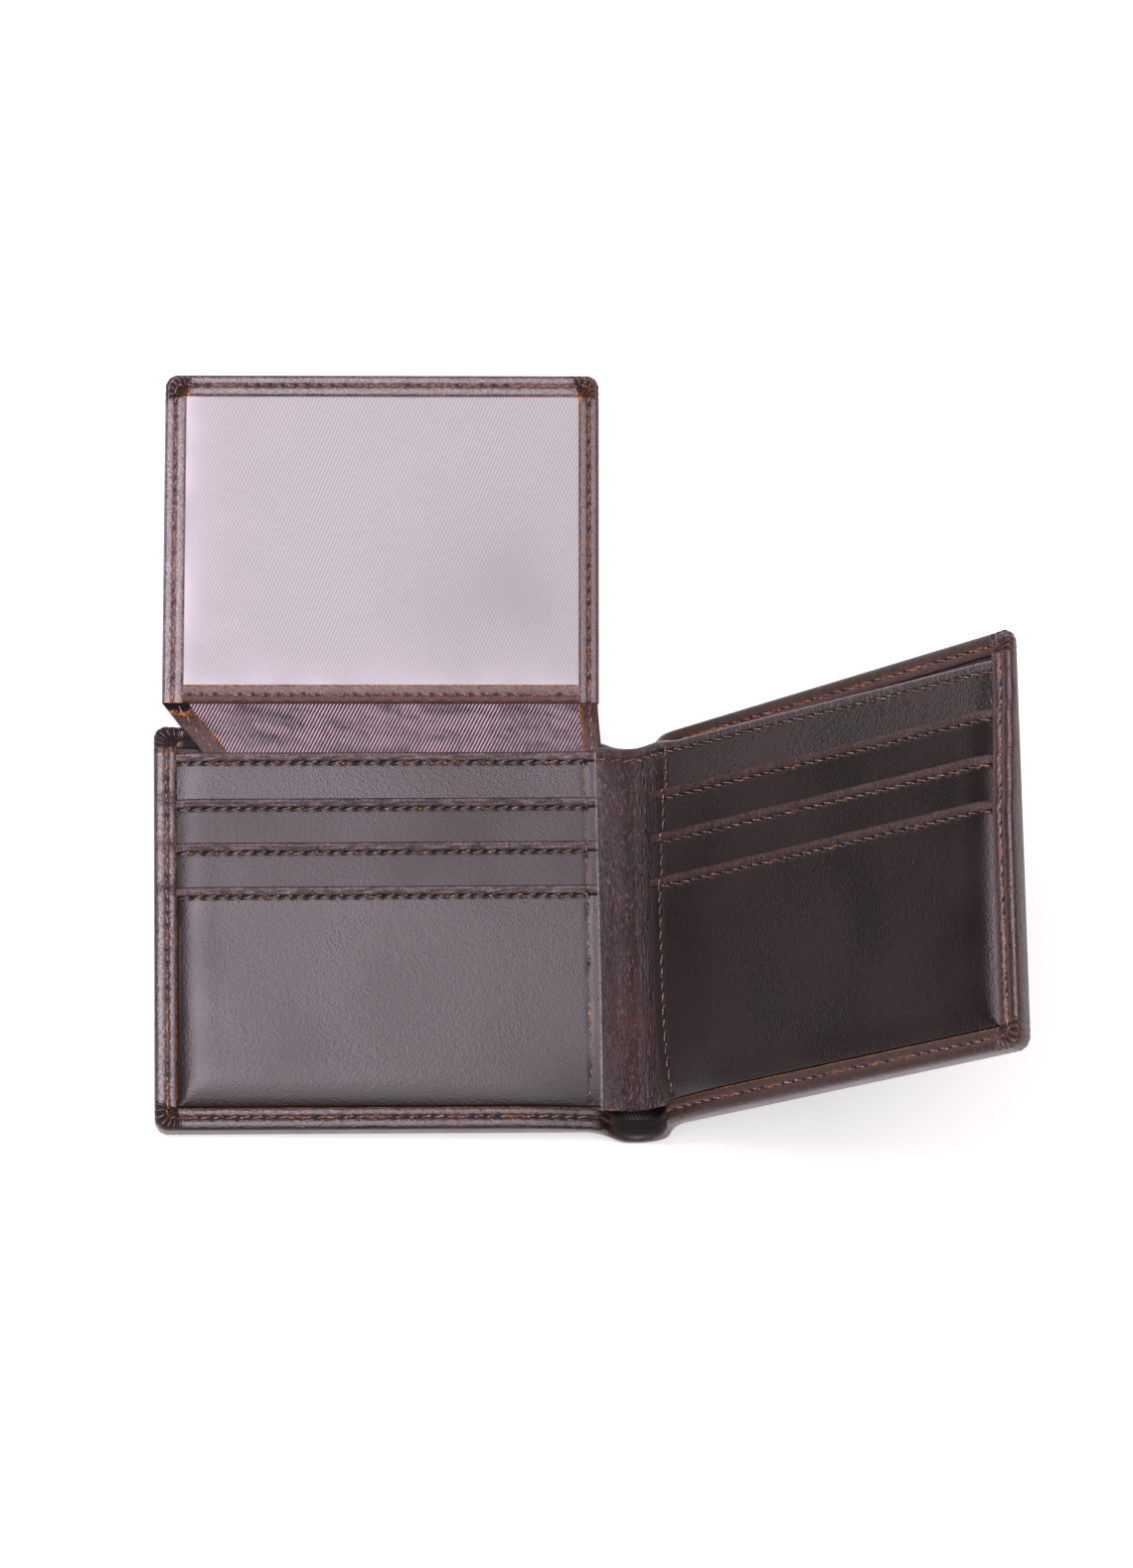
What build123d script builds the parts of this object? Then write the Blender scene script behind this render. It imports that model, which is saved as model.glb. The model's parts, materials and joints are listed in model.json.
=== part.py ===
from build123d import *
import math
import os

# A leather bifold wallet, lying open on its back with the right half lifted and its ID flap turned up.
# Each half is a turned-edge leather cover, a bill compartment, a base panel and three stepped card pockets.
# The halves hang on two fold lines, one each side of a rounded spine, and the flap on a fabric gusset.
#
# Half frame: x runs outwards from the fold axis, y up from the bottom edge, z out of the interior,
# with z = 0 at the middle of the cover leather. The left half is the mirror image of the right one.
# Row frame: +X across the wallet towards the right half, +Y towards the flap, +Z up, with the origin at
# the bottom centre of the bounding box at rest.

# ---- driving dimensions, in millimetres and degrees ----
HALF_WIDTH = 100.9  # fold axis to outer edge
HEIGHT = 95.0  # cover, at its outer edge
HEIGHT_AT_FOLD = 91.0  # the cover's top edge dips towards the spine
CORNER_RADIUS = 2.5
COVER_LEATHER = 1.1
COVER_FABRIC = 0.2
BILL_GAP = 1.6  # empty bill compartment
PANEL_LEATHER = 0.8
POCKET_LEATHER = 0.7
CARD_GAP = 0.1  # an empty card slot
RIM_WIDTH = 5.1  # cover leather turned over the panel's edge
RIM_LEATHER = 0.75
HEM_WIDTH = 5.0  # cover leather turned down along the top edge
PANEL_TOP = 88.0
POCKET_TOP = 77.0  # the highest card slot's mouth
POCKET_PITCH = 10.5
POCKET_STRIP = 19.0  # leather depth of the two upper pockets, which end in fabric
CARD_HEIGHT = 54.0
SEAM_EDGE = 0.8  # fold axis to the free edge of the panel and pockets
THREAD_WIDTH = 0.45
THREAD_HEIGHT = 0.2
RIM_STITCH = 3.0  # thread line in from the cover's edge
HEM_STITCH = 2.5  # thread line below a panel or pocket top
SEAM_STITCH = 2.8  # thread line in from the free edge
SLOT_FABRIC = 0.15

FOLD_AT_REST = 43.0  # angle between the halves, from lying flat
SPINE_CHORD = 14.6  # between the two fold axes
SPINE_SAGITTA = 6.8  # how far the spine leather bows out of that chord
SPINE_BOTTOM = -1.5
SPINE_TOP = 90.5
SPINE_LINING_BOTTOM = 4.8
SPINE_LINING_TOP = 89.3
SPINE_LINING_LEATHER = 0.7
SPINE_LINING_SAGITTA = 1.6
SPINE_FABRIC_SPREAD = 60.0  # how far round each side of the bow the fabric reaches
SPINE_LINING_END = 1.0  # fold axis to the lining's edge

FLAP_AT_REST = 4.0  # the opened flap stands this far above the left half's plane
FLAP_LEFT = 2.4  # from the left cover's outer edge
FLAP_WIDTH = 99.1
FLAP_HEIGHT = 76.7
FLAP_LEATHER = 0.7
FLAP_RIM = 4.4
FLAP_TOP_RIM = 5.0
FLAP_BAND = 4.8
FLAP_BAND_LEATHER = 0.6
FLAP_THICKNESS = 2.1
FLAP_CORNER = 3.0
FLAP_STITCH = 2.6
FILM = 0.2
FLAP_FABRIC = 0.2
LAYER_GAP = 0.05
GUSSET_LENGTH = 12.2  # hinge axis to the flap's edge
GUSSET_START = 1.6  # hinge axis to the gusset, so that it clears the divider and the closed spine
GUSSET_FABRIC = 0.2
DIVIDER_EDGE = 1.2  # fold axis to the bill divider, clear of the spine when closed
DIVIDER_DROP = 0.3  # panel top to the divider's top
GUSSET_INSET = 8.3  # the gusset's left edge slants in by this much at the hinge
BINDING_LEFT = 5.8
BINDING_RIGHT = 4.2
BINDING_LEATHER = 0.5
CLOSED_CLEARANCE = 0.5  # between the pocket fronts and the closed flap

# ---- levels in the half frame, worked out from the layers ----
COVER_OUTSIDE = -COVER_LEATHER / 2
COVER_INSIDE = COVER_LEATHER / 2
FABRIC_TOP = COVER_INSIDE + COVER_FABRIC
PANEL_BACK = FABRIC_TOP + BILL_GAP
PANEL_FRONT = PANEL_BACK + PANEL_LEATHER
LAYER_PITCH = POCKET_LEATHER + CARD_GAP
POCKET_BACKS = [PANEL_FRONT + CARD_GAP + level * LAYER_PITCH for level in range(3)]
POCKET_FRONTS = [back + POCKET_LEATHER for back in POCKET_BACKS]
POCKET_TOPS = [POCKET_TOP - level * POCKET_PITCH for level in range(3)]
STACK_FRONT = POCKET_FRONTS[-1]
RIM_FRONT = STACK_FRONT
RIM_BACK = RIM_FRONT - RIM_LEATHER
POCKET_OUTER = HALF_WIDTH - RIM_WIDTH - 0.2
UNDER_RIM = HALF_WIDTH - COVER_LEATHER - 0.2
POCKET_BOTTOM = RIM_WIDTH + 0.2
FOLD_CLEARANCE = 0.2
BEAD_RADIUS = COVER_LEATHER / 2  # the rolled fold of leather that the joint turns on
COVER_INNER_EDGE = BEAD_RADIUS + FOLD_CLEARANCE

# ---- levels in the flap frame, whose origin is on the flap's hinge axis ----
DIVIDER_LEVEL = COVER_INSIDE + RIM_LEATHER + THREAD_HEIGHT + 0.3
FLAP_AXIS_Z = (STACK_FRONT + CLOSED_CLEARANCE + DIVIDER_LEVEL) / 2
FLAP_FRONT = FLAP_AXIS_Z - STACK_FRONT - CLOSED_CLEARANCE
FLAP_BACK = FLAP_FRONT - FLAP_THICKNESS
FLAP_TOP = GUSSET_LENGTH + FLAP_HEIGHT
FLAP_X0 = FLAP_LEFT - HALF_WIDTH
FLAP_X1 = FLAP_X0 + FLAP_WIDTH
CORE_LEVEL = (FLAP_FRONT + FLAP_BACK) / 2


def slab(x0, x1, y0, y1, z0, z1):
    """A rectangular sheet between two corners."""
    return Pos(x0, y0, z0) * Box(x1 - x0, y1 - y0, z1 - z0, align=(Align.MIN,) * 3)


def prism(points, z0, z1, rounded=(), radius=0.0):
    """A sheet with a polygon outline. The corners in rounded, given by their index, get the radius."""
    face = make_face(Polyline(*points, close=True))
    if rounded:
        corners = [face.vertices().sort_by_distance((*points[i], 0))[0] for i in rounded]
        face = fillet(corners, radius)
    return Pos(0, 0, z0) * extrude(face, z1 - z0, dir=(0, 0, 1))


def strip_between(x0, y0, x1, y1, width, z0, z1):
    """A straight ribbon of the given width whose centre line joins two points."""
    length = math.hypot(x1 - x0, y1 - y0)
    turn = math.degrees(math.atan2(y1 - y0, x1 - x0))
    ribbon = Box(length, width, z1 - z0, align=(Align.MIN, Align.CENTER, Align.MIN))
    return Pos(x0, y0, z0) * Rot(0, 0, turn) * ribbon


def arc_sheet(chord_end_0, chord_end_1, sagitta, thickness, y0, y1, ends=()):
    """A curved sheet along y. Its middle line is the arc from one (x, z) point to another at the same z,
    bowed towards -z, and ends lists solids to join to it."""
    (xa, za), (xb, _) = chord_end_0, chord_end_1
    half_chord = (xb - xa) / 2
    radius = (half_chord**2 + sagitta**2) / (2 * sagitta)
    centre = Vector(xa + half_chord, 0, za + radius - sagitta)
    outer = Cylinder(radius + thickness / 2, y1 - y0, rotation=(90, 0, 0))
    inner = Cylinder(radius - thickness / 2, y1 - y0, rotation=(90, 0, 0))
    shell = Pos(centre.X, (y0 + y1) / 2, centre.Z) * (outer - inner)
    spread = math.asin(half_chord / radius)
    reach = 3 * radius
    apex = (centre.X, centre.Z)
    left = (centre.X - reach * math.sin(spread), centre.Z - reach * math.cos(spread))
    right = (centre.X + reach * math.sin(spread), left[1])
    low = centre.Z - reach
    wedge = [apex, right, (right[0], low), (left[0], low), left]
    plane = Plane(origin=(0, y1, 0), x_dir=(1, 0, 0), z_dir=(0, -1, 0))
    sector = extrude(plane * make_face(Polyline(*wedge, close=True)), y1 - y0)
    sheet = shell & sector
    for end in ends:
        sheet = sheet + end
    return sheet


def cover_top_at(x):
    """Height of the cover's dipping top edge at a distance x from the fold axis."""
    return HEIGHT_AT_FOLD + (HEIGHT - HEIGHT_AT_FOLD) * x / HALF_WIDTH


# ---- the pieces of one half, in the half frame ----
def rim_ring(inset, z0, z1):
    """The part of the cover's outline within inset of its outer and bottom edges."""
    x0 = COVER_INNER_EDGE
    outline = [(x0, 0), (HALF_WIDTH, 0), (HALF_WIDTH, HEIGHT), (x0, cover_top_at(x0))]
    whole = prism(outline, z0, z1, (1, 2), CORNER_RADIUS)
    edge = HALF_WIDTH - inset
    above = HEIGHT + 10
    inside = prism([(-10, inset), (edge, inset), (edge, above), (-10, above)], z0, z1, (1,), 0.5)
    return whole - inside


def cover():
    """Outer leather with its edges turned in over the panel, and its top edge hemmed."""
    x0 = COVER_INNER_EDGE
    outline = [(x0, 0), (HALF_WIDTH, 0), (HALF_WIDTH, HEIGHT), (x0, cover_top_at(x0))]
    plate = prism(outline, COVER_OUTSIDE, COVER_INSIDE, (1, 2), CORNER_RADIUS)
    wall = rim_ring(COVER_LEATHER, COVER_INSIDE, RIM_FRONT)
    lip = rim_ring(RIM_WIDTH, RIM_BACK, RIM_FRONT)
    x1 = HALF_WIDTH - COVER_LEATHER / 2
    hem_outline = [
        (x0, cover_top_at(x0) - HEM_WIDTH),
        (x1, cover_top_at(x1) - HEM_WIDTH),
        (x1, cover_top_at(x1) - 0.3),
        (x0, cover_top_at(x0)),
    ]
    hem = prism(hem_outline, COVER_INSIDE, COVER_INSIDE + RIM_LEATHER)
    return plate + wall + lip + hem


def cover_lining():
    """Fabric on the inside of the cover, which backs the bill compartment."""
    x0, x1 = COVER_INNER_EDGE + 0.3, UNDER_RIM
    y0 = COVER_LEATHER + 0.2
    drop = HEM_WIDTH + 0.2
    outline = [(x0, y0), (x1, y0), (x1, cover_top_at(x1) - drop), (x0, cover_top_at(x0) - drop)]
    return prism(outline, COVER_INSIDE, FABRIC_TOP)


def base_panel():
    """The full-height leather panel that the card pockets are sewn to."""
    return slab(SEAM_EDGE, UNDER_RIM, COVER_LEATHER + 0.2, PANEL_TOP, PANEL_BACK, PANEL_FRONT)


def card_pocket(level):
    """One stepped leather pocket: two strips that run under the rim, and the front one that meets it."""
    top = POCKET_TOPS[level]
    front = level == len(POCKET_TOPS) - 1
    bottom = POCKET_BOTTOM if front else top - POCKET_STRIP
    outer = POCKET_OUTER if front else UNDER_RIM
    return slab(SEAM_EDGE, outer, bottom, top, POCKET_BACKS[level], POCKET_FRONTS[level])


def slot_lining(level):
    """Fabric that carries one of the two upper slots down to the depth of a card."""
    top = POCKET_TOPS[level] - POCKET_STRIP - LAYER_GAP
    bottom = POCKET_TOPS[level] - CARD_HEIGHT + 1.3
    back = POCKET_BACKS[level]
    return slab(SEAM_EDGE + 0.5, POCKET_OUTER - 0.5, bottom, top, back, back + SLOT_FABRIC)


def thread_on(level, x0, y0, x1, y1):
    """A seam's thread, lying on a surface at the given level."""
    return strip_between(x0, y0, x1, y1, THREAD_WIDTH, level, level + THREAD_HEIGHT)


def rim_thread():
    """The seam through the turned rim, up the outer edge and along the bottom."""
    x = HALF_WIDTH - RIM_STITCH
    side = thread_on(RIM_FRONT, x, RIM_STITCH - THREAD_WIDTH / 2, x, HEIGHT - RIM_STITCH)
    bottom = thread_on(RIM_FRONT, COVER_INNER_EDGE + 0.5, RIM_STITCH, x, RIM_STITCH)
    return side + bottom


def cover_hem_thread():
    """The seam along the cover's top hem."""
    x0, x1 = COVER_INNER_EDGE + 0.5, HALF_WIDTH - RIM_STITCH
    y0, y1 = cover_top_at(x0) - RIM_STITCH, cover_top_at(x1) - RIM_STITCH
    return thread_on(COVER_INSIDE + RIM_LEATHER, x0, y0, x1, y1)


def panel_hem_thread():
    """The seam under the base panel's top edge."""
    y = PANEL_TOP - HEM_STITCH
    return thread_on(PANEL_FRONT, SEAM_EDGE, y, POCKET_OUTER, y)


def pocket_threads():
    """The three seams under the pocket mouths, outside the upright seam that crosses them."""
    x0 = SEAM_EDGE + SEAM_STITCH + THREAD_WIDTH
    return [
        thread_on(front, x0, top - HEM_STITCH, POCKET_OUTER - 0.3, top - HEM_STITCH)
        for front, top in zip(POCKET_FRONTS, POCKET_TOPS)
    ]


def inner_seam_threads():
    """The upright seam beside the spine, in one run on each step of the pockets."""
    x = SEAM_EDGE + SEAM_STITCH
    tops = [PANEL_TOP - HEM_STITCH - THREAD_WIDTH] + [top - 0.2 for top in POCKET_TOPS]
    bottoms = [top + 0.2 for top in POCKET_TOPS] + [POCKET_BOTTOM]
    levels = [PANEL_FRONT] + POCKET_FRONTS
    return [thread_on(z, x, low, x, high) for z, low, high in zip(levels, bottoms, tops)]


# ---- the spine, in the half frame turned onto the chord between the fold axes ----
def bead(x):
    """The rolled fold line of the spine leather, round about a fold axis."""
    middle = (SPINE_BOTTOM + SPINE_TOP) / 2
    return Pos(x, middle, 0) * Cylinder(BEAD_RADIUS, SPINE_TOP - SPINE_BOTTOM, rotation=(90, 0, 0))


def cover_spine():
    """The part of the cover leather that bows out between the two folds."""
    ends = (bead(0), bead(SPINE_CHORD))
    span = ((0, 0), (SPINE_CHORD, 0))
    return arc_sheet(*span, SPINE_SAGITTA, COVER_LEATHER, SPINE_BOTTOM, SPINE_TOP, ends)


def cover_lining_spine():
    """Fabric on the inside of the spine leather, held clear of both folds."""
    half = SPINE_CHORD / 2
    radius = (half**2 + SPINE_SAGITTA**2) / (2 * SPINE_SAGITTA)
    inner = radius - COVER_LEATHER / 2 - COVER_FABRIC / 2
    rise = inner * math.cos(math.radians(SPINE_FABRIC_SPREAD))
    reach = inner * math.sin(math.radians(SPINE_FABRIC_SPREAD))
    centre_z = radius - SPINE_SAGITTA
    span = ((half - reach, centre_z - rise), (half + reach, centre_z - rise))
    return arc_sheet(*span, inner - rise, COVER_FABRIC, SPINE_BOTTOM + 1, SPINE_TOP - 1)


def spine_lining():
    """The leather strip that closes the inside of the spine."""
    span = ((SPINE_LINING_END, 0), (SPINE_CHORD - SPINE_LINING_END, 0))
    return arc_sheet(
        *span, SPINE_LINING_SAGITTA, SPINE_LINING_LEATHER, SPINE_LINING_BOTTOM, SPINE_LINING_TOP
    )


def spine_hem_thread():
    """The seam across the top of the spine lining, following its curve."""
    half = SPINE_CHORD / 2 - SPINE_LINING_END
    radius = (half**2 + SPINE_LINING_SAGITTA**2) / (2 * SPINE_LINING_SAGITTA)
    inner = radius - SPINE_LINING_LEATHER / 2 - THREAD_HEIGHT / 2
    spread = 0.9 * math.asin(half / radius)
    reach = inner * math.sin(spread)
    end_z = radius - SPINE_LINING_SAGITTA - inner * math.cos(spread)
    middle = SPINE_CHORD / 2
    y = SPINE_LINING_TOP - HEM_STITCH
    return arc_sheet(
        (middle - reach, end_z),
        (middle + reach, end_z),
        inner * (1 - math.cos(spread)),
        THREAD_HEIGHT,
        y - THREAD_WIDTH / 2,
        y + THREAD_WIDTH / 2,
    )


# ---- the flap, in the flap frame ----
def flap_outline(inset, z0, z1, bottom=GUSSET_LENGTH):
    """The flap's outline, rounded at its two far corners and set in by inset on three sides."""
    x0, x1, top = FLAP_X0 + inset, FLAP_X1 - inset, FLAP_TOP - inset
    points = [(x0, bottom), (x1, bottom), (x1, top), (x0, top)]
    return prism(points, z0, z1, (2, 3), max(FLAP_CORNER - inset, 0.4))


def flap_window_hole(z0, z1):
    """The see-through part of the flap, which is the same on both faces."""
    y0 = GUSSET_LENGTH + FLAP_BAND
    return slab(FLAP_X0 + FLAP_RIM, FLAP_X1 - FLAP_RIM, y0, FLAP_TOP - FLAP_TOP_RIM, z0, z1)


def flap_leather():
    """The flap's back leather, with its three free edges turned over onto the front."""
    back = flap_outline(0, FLAP_BACK, FLAP_BACK + FLAP_LEATHER)
    back -= flap_window_hole(FLAP_BACK, FLAP_BACK + FLAP_LEATHER)
    rim_back = FLAP_FRONT - FLAP_BAND_LEATHER
    wall = flap_outline(0, FLAP_BACK, FLAP_FRONT) - flap_outline(FLAP_LEATHER, FLAP_BACK, FLAP_FRONT)
    wall -= slab(FLAP_X0 + FLAP_LEATHER, FLAP_X1 - FLAP_LEATHER, 0, 20, FLAP_BACK, FLAP_FRONT)
    lip = flap_outline(0, rim_back, FLAP_FRONT) - flap_window_hole(rim_back, FLAP_FRONT)
    band_room = GUSSET_LENGTH + FLAP_BAND
    lip -= slab(FLAP_X0 + FLAP_LEATHER, FLAP_X1 - FLAP_LEATHER, 0, band_room, rim_back, FLAP_FRONT)
    return back + wall + lip


def flap_band():
    """The separate leather strip along the flap's hinge edge."""
    x0, x1 = FLAP_X0 + FLAP_LEATHER + LAYER_GAP, FLAP_X1 - FLAP_LEATHER - LAYER_GAP
    y1 = GUSSET_LENGTH + FLAP_BAND - LAYER_GAP
    return slab(x0, x1, GUSSET_LENGTH, y1, FLAP_FRONT - FLAP_BAND_LEATHER, FLAP_FRONT)


def flap_sheet(z0, z1):
    """A sheet sewn inside the flap: the window films and the fabric between them."""
    return flap_outline(FLAP_LEATHER + 0.3, z0, z1, GUSSET_LENGTH + 1.0)


def flap_window_back():
    low = FLAP_BACK + FLAP_LEATHER + LAYER_GAP
    return flap_sheet(low, low + FILM)


def flap_window_front():
    high = FLAP_FRONT - FLAP_BAND_LEATHER - LAYER_GAP
    return flap_sheet(high - FILM, high)


def flap_fabric():
    low = CORE_LEVEL - FLAP_FABRIC / 2
    return flap_sheet(low, low + FLAP_FABRIC)


def gusset_level(y):
    """Middle of the gusset fabric, which falls from the bill divider to the flap's own fabric."""
    divider = DIVIDER_LEVEL - FLAP_AXIS_Z
    return divider + (CORE_LEVEL - divider) * y / GUSSET_LENGTH


def gusset_sheet(left_0, left_1, right, y0, y1, above, thickness):
    """A sloping sheet of the gusset, from its left edge, at y0 and then at y1, to its right edge."""
    profile = [
        (y0, gusset_level(y0) + above),
        (y1, gusset_level(y1) + above),
        (y1, gusset_level(y1) + above + thickness),
        (y0, gusset_level(y0) + above + thickness),
    ]
    side = Plane(origin=(FLAP_X0 - 5, 0, 0), x_dir=(0, 1, 0), z_dir=(1, 0, 0))
    sheet = extrude(side * make_face(Polyline(*profile, close=True)), FLAP_WIDTH + 10)
    plan = [(left_0, y0), (right[0], y0), (right[1], y1), (left_1, y1)]
    return sheet & prism(plan, FLAP_BACK - 5, 5)


def gusset_left(y):
    """Left edge of the gusset, slanting in from the flap towards the hinge."""
    return FLAP_X0 + 0.2 + GUSSET_INSET * (1 - y / GUSSET_LENGTH)


def gusset_fabric():
    y0, y1 = GUSSET_START, GUSSET_LENGTH - 0.1
    right = (FLAP_X1 - 0.2, FLAP_X1 - 0.2)
    low = -GUSSET_FABRIC / 2
    return gusset_sheet(gusset_left(y0), gusset_left(y1), right, y0, y1, low, GUSSET_FABRIC)


def gusset_binding_left():
    y0, y1 = GUSSET_START, GUSSET_LENGTH - 0.1
    right = (gusset_left(y0) + BINDING_LEFT, gusset_left(y1) + BINDING_LEFT)
    above = GUSSET_FABRIC / 2
    return gusset_sheet(gusset_left(y0), gusset_left(y1), right, y0, y1, above, BINDING_LEATHER)


def gusset_binding_right():
    y0, y1 = GUSSET_START, GUSSET_LENGTH - 0.1
    edge = FLAP_X1 - 0.2
    above = GUSSET_FABRIC / 2
    left = edge - BINDING_RIGHT
    return gusset_sheet(left, left, (edge, edge), y0, y1, above, BINDING_LEATHER)


def flap_rim_thread():
    """The seam round the flap's three turned edges."""
    half = THREAD_WIDTH / 2
    z0, z1 = FLAP_FRONT, FLAP_FRONT + THREAD_HEIGHT
    ring = flap_outline(FLAP_STITCH - half, z0, z1) - flap_outline(FLAP_STITCH + half, z0, z1)
    cut_x0, cut_x1 = FLAP_X0 + FLAP_STITCH + half, FLAP_X1 - FLAP_STITCH - half
    return ring - slab(cut_x0, cut_x1, 0, GUSSET_LENGTH + 1, z0, z1)


def flap_band_thread():
    """The seam along the hinge band, between the two rim seams."""
    y = GUSSET_LENGTH + FLAP_STITCH
    gap = FLAP_STITCH + THREAD_WIDTH
    return thread_on(FLAP_FRONT, FLAP_X0 + gap, y, FLAP_X1 - gap, y)


def bill_divider():
    """The fabric sheet inside the left bill compartment that carries the flap. It is in the left half."""
    x0, x1 = FLAP_X0 + GUSSET_INSET, -DIVIDER_EDGE
    low, high = DIVIDER_LEVEL - GUSSET_FABRIC / 2, DIVIDER_LEVEL + GUSSET_FABRIC / 2
    return slab(x0, x1, RIM_WIDTH + 1, PANEL_TOP - DIVIDER_DROP, low, high)


# ---- where each frame stands in the row frame, at rest ----
HALF_FOLD = FOLD_AT_REST / 2
SPINE_RADIUS = ((SPINE_CHORD / 2) ** 2 + SPINE_SAGITTA**2) / (2 * SPINE_SAGITTA)


def resting_tilt():
    """The left half leans on the spine: its outer edge and the bow of the spine both touch the surface."""
    turn = math.radians(HALF_FOLD)
    rise = SPINE_RADIUS - SPINE_SAGITTA
    along = SPINE_CHORD / 2 * math.cos(turn) - rise * math.sin(turn)
    up = SPINE_CHORD / 2 * math.sin(turn) + rise * math.cos(turn)
    run = HALF_WIDTH + along
    height = up - COVER_OUTSIDE
    bow = SPINE_RADIUS + COVER_LEATHER / 2
    return math.degrees(math.asin(bow / math.hypot(run, height)) - math.atan2(height, run))


TILT = resting_tilt()
# A turn about -Y lifts the right side, and Rot's y angle turns about +Y.
LEFT = Rot(0, -TILT, 0)
SPINE = LEFT * Rot(0, -HALF_FOLD, 0)
RIGHT = SPINE * Pos(SPINE_CHORD, 0, 0) * Rot(0, -HALF_FOLD, 0)
FLAP = LEFT * Pos(0, PANEL_TOP, FLAP_AXIS_Z) * Rot(FLAP_AT_REST, 0, 0)

half_pieces = {
    "cover": cover(),
    "cover_lining": cover_lining(),
    "base_panel": base_panel(),
    "card_pocket_upper": card_pocket(0),
    "card_pocket_middle": card_pocket(1),
    "card_pocket_front": card_pocket(2),
    "slot_lining_upper": slot_lining(0),
    "slot_lining_middle": slot_lining(1),
    "rim_thread": rim_thread(),
    "cover_hem_thread": cover_hem_thread(),
    "panel_hem_thread": panel_hem_thread(),
    "pocket_threads": Compound(children=pocket_threads()),
    "inner_seam_thread": Compound(children=inner_seam_threads()),
}
spine_pieces = {
    "cover_spine": cover_spine(),
    "cover_lining_spine": cover_lining_spine(),
    "spine_lining": spine_lining(),
    "spine_hem_thread": spine_hem_thread(),
}
flap_pieces = {
    "flap_leather": flap_leather(),
    "flap_band": flap_band(),
    "flap_window_front": flap_window_front(),
    "flap_window_back": flap_window_back(),
    "flap_fabric": flap_fabric(),
    "gusset_fabric": gusset_fabric(),
    "gusset_binding_left": gusset_binding_left(),
    "gusset_binding_right": gusset_binding_right(),
    "flap_rim_thread": flap_rim_thread(),
    "flap_band_thread": flap_band_thread(),
}

placed = {name + "_right": RIGHT * piece for name, piece in half_pieces.items()}
placed.update({name + "_left": LEFT * mirror(piece, about=Plane.YZ) for name, piece in half_pieces.items()})
placed["bill_divider"] = LEFT * bill_divider()
placed.update({name: SPINE * piece for name, piece in spine_pieces.items()})
placed.update({name: FLAP * piece for name, piece in flap_pieces.items()})

boxes = [piece.bounding_box() for piece in placed.values()]
low = [min(getattr(box.min, axis) for box in boxes) for axis in "XYZ"]
high = [max(getattr(box.max, axis) for box in boxes) for axis in "XYZ"]
ORIGIN = Pos(-(low[0] + high[0]) / 2, -(low[1] + high[1]) / 2, -low[2])

os.makedirs("parts", exist_ok=True)
for name, piece in placed.items():
    export_step(ORIGIN * piece, f"parts/{name}.step")


def row_point(frame, x, y, z):
    """A point of one of the frames, in the row frame in metres."""
    place = (ORIGIN * frame * Pos(x, y, z)).position
    return [round(value / 1000, 6) for value in (place.X, place.Y, place.Z)]


middle_y = HEIGHT / 2
print("tilt", round(TILT, 4))
print("fold_left axis at", row_point(SPINE, 0, middle_y, 0))
print("fold_right axis at", row_point(RIGHT, 0, middle_y, 0))
print("flap_hinge axis at", row_point(FLAP, -HALF_WIDTH / 2, 0, 0))
print("left cover face centre", row_point(LEFT, -HALF_WIDTH / 2, middle_y, COVER_OUTSIDE))
print("right cover face centre", row_point(RIGHT, HALF_WIDTH / 2, middle_y, COVER_OUTSIDE))
print("extent", [round(h - w, 2) for h, w in zip(high, low)])
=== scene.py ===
import json
import math
import bmesh
import bpy
import numpy as np
from mathutils import Matrix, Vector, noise


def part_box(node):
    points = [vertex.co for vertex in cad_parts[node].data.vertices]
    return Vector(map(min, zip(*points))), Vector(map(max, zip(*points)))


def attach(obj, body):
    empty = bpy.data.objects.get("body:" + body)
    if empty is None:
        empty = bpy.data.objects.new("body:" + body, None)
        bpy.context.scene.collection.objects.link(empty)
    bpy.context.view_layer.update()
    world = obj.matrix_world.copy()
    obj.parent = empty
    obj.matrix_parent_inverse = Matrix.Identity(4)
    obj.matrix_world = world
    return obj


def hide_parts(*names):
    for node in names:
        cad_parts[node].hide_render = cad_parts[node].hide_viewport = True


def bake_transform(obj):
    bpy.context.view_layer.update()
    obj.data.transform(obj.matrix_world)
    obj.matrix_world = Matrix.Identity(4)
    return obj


# The looks of the bifold wallet. Every length is in millimetres in one of four frames, and place()
# turns it into the row frame's metres. A half frame's x runs outwards from the fold axis, y up from the
# bottom edge and z out of the interior, and the left half is the mirror image of the right one.
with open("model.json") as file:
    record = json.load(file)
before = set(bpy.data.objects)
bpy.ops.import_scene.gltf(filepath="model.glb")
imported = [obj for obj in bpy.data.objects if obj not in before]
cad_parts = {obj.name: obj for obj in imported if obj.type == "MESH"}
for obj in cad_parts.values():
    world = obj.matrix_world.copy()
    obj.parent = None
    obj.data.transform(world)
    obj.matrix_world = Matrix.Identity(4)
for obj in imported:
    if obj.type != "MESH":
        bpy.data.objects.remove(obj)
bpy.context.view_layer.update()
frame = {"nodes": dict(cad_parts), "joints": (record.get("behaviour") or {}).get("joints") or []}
nodes = frame["nodes"]
joints = {joint["name"]: joint for joint in frame["joints"]}

# ---- stitching and leather detail ----
PITCH = 2.88  # stitch length
STITCH_LINES = 6  # mesh lines to a stitch along a turned edge, so that one line meets each hole
GRID_STEP = PITCH / STITCH_LINES
THREAD = 0.16  # thread radius
HOLE = 0.34  # radius of the dimple at a stitch hole
HOLE_DEPTH = 0.3
FAN = 7.0  # how far a corner's pleats reach along each edge
PLEATS = 7
HEM_RISE = 0.34  # of a folded hem, which ends at its seam
MOUTH_SEAM = 2.45  # from a pocket's mouth down to its seam
SEAM_IN = 2.8  # from the layers' inner edge to the upright seam


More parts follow.
